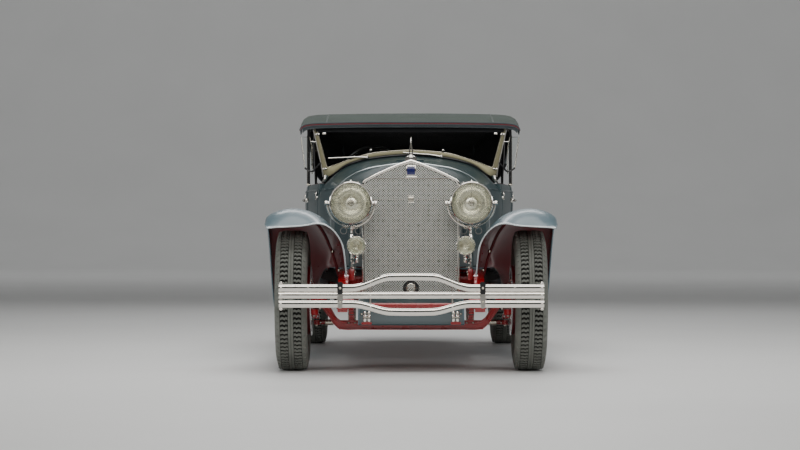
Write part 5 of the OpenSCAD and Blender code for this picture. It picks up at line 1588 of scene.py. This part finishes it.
for sg in (-1, 1):
    g.lathe([(0, 371), (26, 371), (28, 374), (28, 466), (26, 469), (0, 469)], (sg * 585, 0, 0), (0, 0, 1), "red", 32)
    g.ball((sg * 546, -30, 372), 10, "chrome", 12)
    g.rod((sg * 546, -24, 372), (sg * 546, -44, 372), 5, "chrome", 10)
    g.rod((sg * 520, -20, 440), (sg * 520, -42, 446), 4.5, "chrome", 10)
    # torque stays from the axle to the springs
    g.tube([(sg * 455, -16, 300), (sg * 540, -20, 430)], 8, "red", 10)
g.make("front_axle_beam", "chassis", ("front_axle",), "paint_red", bevel=1.0, sharp=40)
g = Geo()


def leaf_pack(s0, half, zm, ze, x0, x1, n, t):
    for k in range(n):
        f = 1 - k / (n + 0.6)
        rows = []
        for u in np.linspace(-1, 1, 26):
            z = zm + (ze - zm) * (u * f) ** 2 - k * t - t / 2
            c = 1.2
            rows.append([(x0 + c, s0 + half * f * u, z + t * .46), (x1 - c, s0 + half * f * u, z + t * .46), (x1, s0 + half * f * u, z + t * .2), (x1, s0 + half * f * u, z - t * .2),
                         (x1 - c, s0 + half * f * u, z - t * .46), (x0 + c, s0 + half * f * u, z - t * .46), (x0, s0 + half * f * u, z - t * .2), (x0, s0 + half * f * u, z + t * .2)])
        g.grid(np.array(rows), "red", wrap=True)
        for r in (rows[0], rows[-1]):
            g.add(r, [tuple(range(8))], "red")


leaf_pack(0, 470, 352, 425, 338, 368, 7, 8)
leaf_pack(RA, 590, 362, 438, 373, 427, 7, 8)
g.box(330, 376, -46, 46, 291, 300, "red", 3)
for s in (-36, 36):
    for x in (335, 372):
        g.tube([(x, s, 288), (x, s, 350)], 5, "satin", 10)
        g.ball((x, s, 286), 9, "satin", 10, .7)
for s in (-250, 250):
    g.box(335, 371, s - 9, s + 9, 338, 372, "black", 2)
g.rod((334, 470, 425), (372, 470, 425), 16, "red", 20)
g.rod((334, -466, 424), (372, -466, 424), 16, "red", 20)
for s in (RA - 588, RA + 588):
    g.rod((370, s, 438), (430, s, 438), 18, "red", 20)
    g.box(374, 426, s - 8, s + 8, 440, 500, "red", 4)
for s in (RA - 50, RA + 50):
    for x in (368, 432):
        g.tube([(x, s, 300), (x, s, 470)], 6, "satin", 10)
g.box(362, 438, RA - 64, RA + 64, 296, 308, "red", 3)
g.mirrored()
g.make("spring_packs", "chassis", ("leaf_springs",), "paint_red", sharp=40)
g = Geo()
for sg in (-1, 1):
    g.lathe([(0, 587), (60, 587), (62, 580), (58, 560), (48, 530), (42, 470), (42, 160), (52, 140), (60, 120)], (0, RA, ZC), (sg, 0, 0), "red", 40)
prof = [(0, -109), (40, -108), (72, -104), (104, -90), (124, -76), (140, -50), (148, -28), (154, -26), (154, -8), (148, -6), (148, 6), (154, 8), (154, 26), (148, 28), (140, 50), (124, 76), (104, 90), (72, 104), (40, 108), (0, 109)]
g.lathe(prof, (0, RA, ZC), (1, 0, 0), "red", 56)
g.lathe([(0, 0), (78, 2), (84, 10), (84, 20), (70, 28), (0, 30)], (0, RA + 132, ZC), (0, 1, 0), "red", 40)
for k in range(12):
    a = 2 * math.pi * k / 12
    g.ball((76 * math.cos(a), RA + 160, ZC + 76 * math.sin(a)), 6, "satin", 8)
T0, T1 = np.array([0, RA - 96, ZC]), np.array([0, 1962, 520.0])
g.tube([mix(T0, T1, t) for t in (0, .03, .1, .5, .92, .97, 1)], [78, 66, 50, 46, 46, 50, 50], "red", 32)
g.make("rear_axle_casing", "chassis", ("rear_axle",), "paint_red", sharp=40)
for n_ in ("knuckle_left", "knuckle_right", "tie_rod"):
    paint_node(n_, "red", 1.2)
g = Geo()
# backing plate flange, grease cups and nuts on the left knuckle
g.lathe([(80, 0), (190, 0), (196, -3), (197, 3), (190, 6), (110, 7), (84, 4)], (600, 0, ZC), (1, 0, 0), "red", 72, closed=True)
g.lathe([(188, -2), (198, -2), (199, 2), (198, 5), (188, 5)], (597, 0, ZC), (1, 0, 0), "bead", 72, closed=True)
for k in range(8):
    a = math.pi * k / 4
    g.ball((597, 120 * math.cos(a), ZC + 120 * math.sin(a)), 7, "satin", 8, 0.6, (1, 0, 0))
g.lathe([(0, 0), (16, 0), (18, 4), (14, 12), (7, 14), (6, 24), (0, 26)], (585, 0, 504), (0, 0, 1), "chrome", 20)
g.lathe([(0, 0), (14, 0), (16, -4), (10, -12), (0, -14)], (585, 0, 333), (0, 0, 1), "chrome", 20)
g.lathe([(0, 0), (12, 0), (12, 8), (8, 12), (0, 12)], (572, 190, 329), (0, 0, 1), "satin", 6)
for s in (-14, 14):
    g.rod((628, s, 506), (628, s, 516), 5, "satin", 8)
g.make("knuckle_fittings_left", "left_knuckle", (), "chrome", sharp=40)
g.flip_copy().make("knuckle_fittings_right", "right_knuckle", (), "chrome", sharp=40)
g = Geo()
for sg in (-1, 1):
    g.rod((sg * 572, 190, 267), (sg * 572, 190, 256), 8, "satin", 6)
    g.rod((sg * 520, 190, 280), (sg * 470, 190, 280), 18, "satin", 16)
    g.ball((sg * 548, 168, 280), 6, "chrome", 10)
g.make("track_rod_clamps", "track_rod", (), "chrome", sharp=40)

# ---------------------------------------------------------------- engine, exhaust and tank
g = Geo()
g.box(-120, 120, 345, 1235, 560, 900, "iron", 10)
g.box(-112, 112, 352, 1228, 902, 985, "iron", 14)
g.box(-60, 60, 380, 1200, 986, 1034, "satin", 16)
g.prism([(-148, 560), (148, 560), (120, 500), (90, 474), (-90, 474), (-120, 500)], "s", 350, 1236, "satin")
for k in range(8):
    s = 412 + k * 106
    g.box(-128, -119, s - 34, s + 34, 640, 860, "iron", 4)
    g.lathe([(0, 0), (12, 0), (12, 10), (8, 14), (7, 40), (4, 44), (0, 46)], (-86, s, 984), (-0.35, 0, 1), "ivory", 14)
    g.tube(curve([(-102, s, 1028), (-128, s - 6, 1034), (-140, s, 1010), (-146, 800 + (s - 800) * .2, 960)], 14), 4, "black", 8)
    g.box(118, 146, s - 22, s + 22, 700, 744, "iron", 6)
    for x in (-98, 98):
        g.lathe([(0, 0), (10, 0), (10, 8), (0, 8)], (x, s + 50, 985), (0, 0, 1), "satin", 6)
g.rod((-146, 700, 955), (-146, 900, 955), 30, "black", 24)
g.tube([(146, 400, 722), (150, 1130, 722)], 26, "iron", 20)
g.lathe([(0, 0), (46, 0), (50, 8), (50, 60), (44, 66), (0, 70)], (0, 1228, 640), (0, 1, 0), "iron", 32)
for k in range(6):
    a = math.pi * k / 3
    c_, s_ = math.cos(a), math.sin(a)
    V = [(22 * c_ - 14 * s_, 322, 800 + 22 * s_ + 14 * c_), (22 * c_ + 14 * s_, 336, 800 + 22 * s_ - 14 * c_), (205 * c_ + 34 * s_, 336, 800 + 205 * s_ - 34 * c_), (205 * c_ - 34 * s_, 316, 800 + 205 * s_ + 34 * c_)]
    W_ = [(x, s + 3, z) for x, s, z in V]
    g.add(V + W_, [(0, 1, 2, 3), (7, 6, 5, 4), (0, 4, 5, 1), (1, 5, 6, 2), (2, 6, 7, 3), (3, 7, 4, 0)], "satin", False)
g.rod((0, 310, 800), (0, 346, 800), 30, "iron", 24)
g.tube(curve([(0, 352, 1000), (0, 300, 1030), (0, 230, 1060), (0, 168, 1080)], 14), 26, "black", 18)
prof_ = [(0, 1236), (108, 1238), (106, 1270), (80, 1330), (70, 1360), (104, 1380), (106, 1420), (96, 1700), (70, 1780), (64, 1890), (0, 1900)]
g.lathe([(r * .98, h) for r, h in prof_], (0, 0, 520), (0, 1, 0), "iron", 36)
g.box(-70, 70, 1440, 1640, 560, 588, "iron", 8)
g.make("engine_and_gearbox", "chassis", ("engine_block",), "iron", bevel=0.8, sharp=40)
g = Geo()
P = curve([(190, 640, 716), (190, 640, 660), (196, 648, 560), (214, 672, 470), (230, 740, 440), (230, 1200, 428), (230, 2290, 400)], 60)
g.tube(P, 27, "iron", 20)
g.tube([(176, 402, 722), (176, 1098, 722)], 22, "iron", 20)
for s in (470, 640, 810, 980):
    g.rod((152, s, 722), (176, s, 722), 20, "iron", 16)
    g.box(152, 157, s - 30, s + 30, 700, 744, "iron", 2)
g.lathe([(26, -6), (30, 0), (60, 6), (69, 18), (70, 30), (70, 670), (69, 682), (60, 694), (30, 700), (24, 706)], (230, 2299, 400), (0, 1, 0), "iron", 40)
for s in (2330, 2960):
    g.tube([(230 + 71 * math.cos(a), s, 400 + 71 * math.sin(a)) for a in np.linspace(0, 2 * math.pi, 41)[:-1]], 3, "iron", 6, closed=True)
g.tube(curve([(230, 2999, 400), (230, 3080, 392), (230, 3200, 352), (230, 3300, 330), (230, 3420, 330), (230, 4378, 330)], 60), 23.5, "iron", 20)
g.lathe([(23, 0), (26, 0), (26, 40), (23, 40), (20, 38), (20, 2)], (230, 4338, 330), (0, 1, 0), "satin", 28, closed=True)
for s in (1500, 2700, 3500, 4200):
    z = 425 if s < 2300 else (400 if s < 3000 else 330)
    r = 30 if s != 2700 else 72
    g.box(225, 235, s - 10, s + 10, z + r - 3, min(z + r + 60, 470 if s < 3200 else 420), "black", 1.5)
g.make("exhaust_pipe_and_silencer", "chassis", ("exhaust_system",), "iron", sharp=40)
g = Geo()
TK = []
for x in (-360, -358, -350, -340, 340, 350, 358, 360):
    k = {360: 0.86, 358: 0.93, 350: 0.985, 340: 1.0}[abs(x)]
    ring = []
    for i in range(48):
        a = 2 * math.pi * i / 48
        c_, s_ = math.cos(a), math.sin(a)
        ring.append((x, 4140 + 178 * k * math.copysign(abs(c_) ** .42, c_), 514 + 82 * k * math.copysign(abs(s_) ** .42, s_)))
    TK.append(ring)
g.grid(np.array(TK), "black", wrap=True)
for r in (TK[0], TK[-1]):
    c = np.mean(np.array(r), axis=0)
    g.add(list(r) + [c], [(k, (k + 1) % 48, 48) for k in range(48)], "black")
for x in (-220, 220):
    ring = [(4140 + 180.5 * math.copysign(abs(math.cos(a)) ** .42, math.cos(a)), 514 + 83.6 * math.copysign(abs(math.sin(a)) ** .42, math.sin(a))) for a in np.linspace(0, 2 * math.pi, 49)[:-1]]
    g.grid(np.array([[(x - 20, s, z) for s, z in ring], [(x - 18, (s - 4140) * 1.008 + 4140, (z - 514) * 1.015 + 514) for s, z in ring], [(x + 18, (s - 4140) * 1.008 + 4140, (z - 514) * 1.015 + 514) for s, z in ring], [(x + 20, s, z) for s, z in ring]]), "satin", wrap=True)
g.rod((300, 4310, 560), (300, 4334, 572), 24, "satin", 24)
g.rod((300, 4330, 570), (300, 4344, 577), 31, "chrome", 28)
g.make("fuel_tank_shell", "chassis", ("fuel_tank",), "black_steel", sharp=40)

# ---------------------------------------------------------------- rear lamps, plate and spare carrier
g = Geo()
g.tube(curve([(431, 4370, 536), (500, 4370, 536), (585, 4372, 545), (610, 4376, 572)], 16), 9, "black", 12)
g.lathe([(0, 0), (26, 2), (38, 10), (42, 22), (43, 40), (44, 46), (44, 54), (41, 58), (38, 58)], (610, 4379, 580), (0, 1, 0), "chrome", 40)
g.lathe([(38, 56), (36, 60), (24, 64), (10, 66), (0, 66)], (610, 4372, 580), (0, 1, 0), "redlens", 36)
g.mirrored()
g.make("tail_lamp_pair", "chassis", ("tail_lamps",), "chrome", sharp=35)
g = Geo()
g.box(-655, -355, 4424.5, 4431, 397, 499, "black", 2)
for a, b in (((-652, 4432, 400), (-358, 4432, 400)), ((-358, 4432, 400), (-358, 4432, 496)), ((-358, 4432, 496), (-652, 4432, 496)), ((-652, 4432, 496), (-652, 4432, 400))):
    g.tube([a, b], 2.4, "satin", 8)
g.box(-427, -403, 4381, 4431, 507, 519, "black", 2)
g.box(-427, -403, 4425, 4431, 490, 519, "black", 1.5)
for x in (-625, -385):
    for z in (416, 472):
        g.lathe([(4, 0), (7, 0), (7, 1.4), (4, 1.4)], (x, 4431, z), (0, 1, 0), "satin", 20, closed=True)
g.make("plate_holder_blank", "chassis", ("plate_bracket",), "black_steel", sharp=40)
g = Geo()
g.box(-38, 38, 4336, 4364, 562, 858, "red", 5)
for z in (600, 660):
    g.prism([(-38, z), (38, z), (26, z + 34), (-26, z + 34)], "s", 4330, 4336, "red")
g.lathe([(0, 0), (58, 0), (60, 4), (60, 58), (54, 66), (50, 70), (0, 70)], (0, 4341, 820), (0, 1, 0), "red", 40)
for k in range(6):
    a = math.pi * k / 3
    g.ball((44 * math.cos(a), 4412, 820 + 44 * math.sin(a)), 7, "satin", 8)
g.make("spare_carrier", "chassis", (), "paint_red", sharp=40)

# twin plated studs and their red pads below the apron's foot
g = Geo()
for x in (-10, 14):
    g.lathe([(0, 0), (9, 0), (10, 3), (10, 40), (8, 44), (11, 47), (11, 56), (6, 62), (0, 63)], (258 + x, -312, 300), (0, 0, 1), "chrome", 20)
g.box(232, 292, -330, -296, 284, 299, "red", 5)
g.box(240, 284, -325, -303, 324, 331, "satin", 2)
g.rod((262, -300, 290), (262, -200, 300), 11, "red", 14)
# diagonal struts between the axle's stops and the dumb irons, painted red
g.tube([(352, -180, 372), (398, -300, 430)], 9, "red", 10)
g.ball((352, -186, 372), 14, "red", 14)
g.mirrored()
g.make("axle_stop_studs", "chassis", (), "chrome", sharp=38)
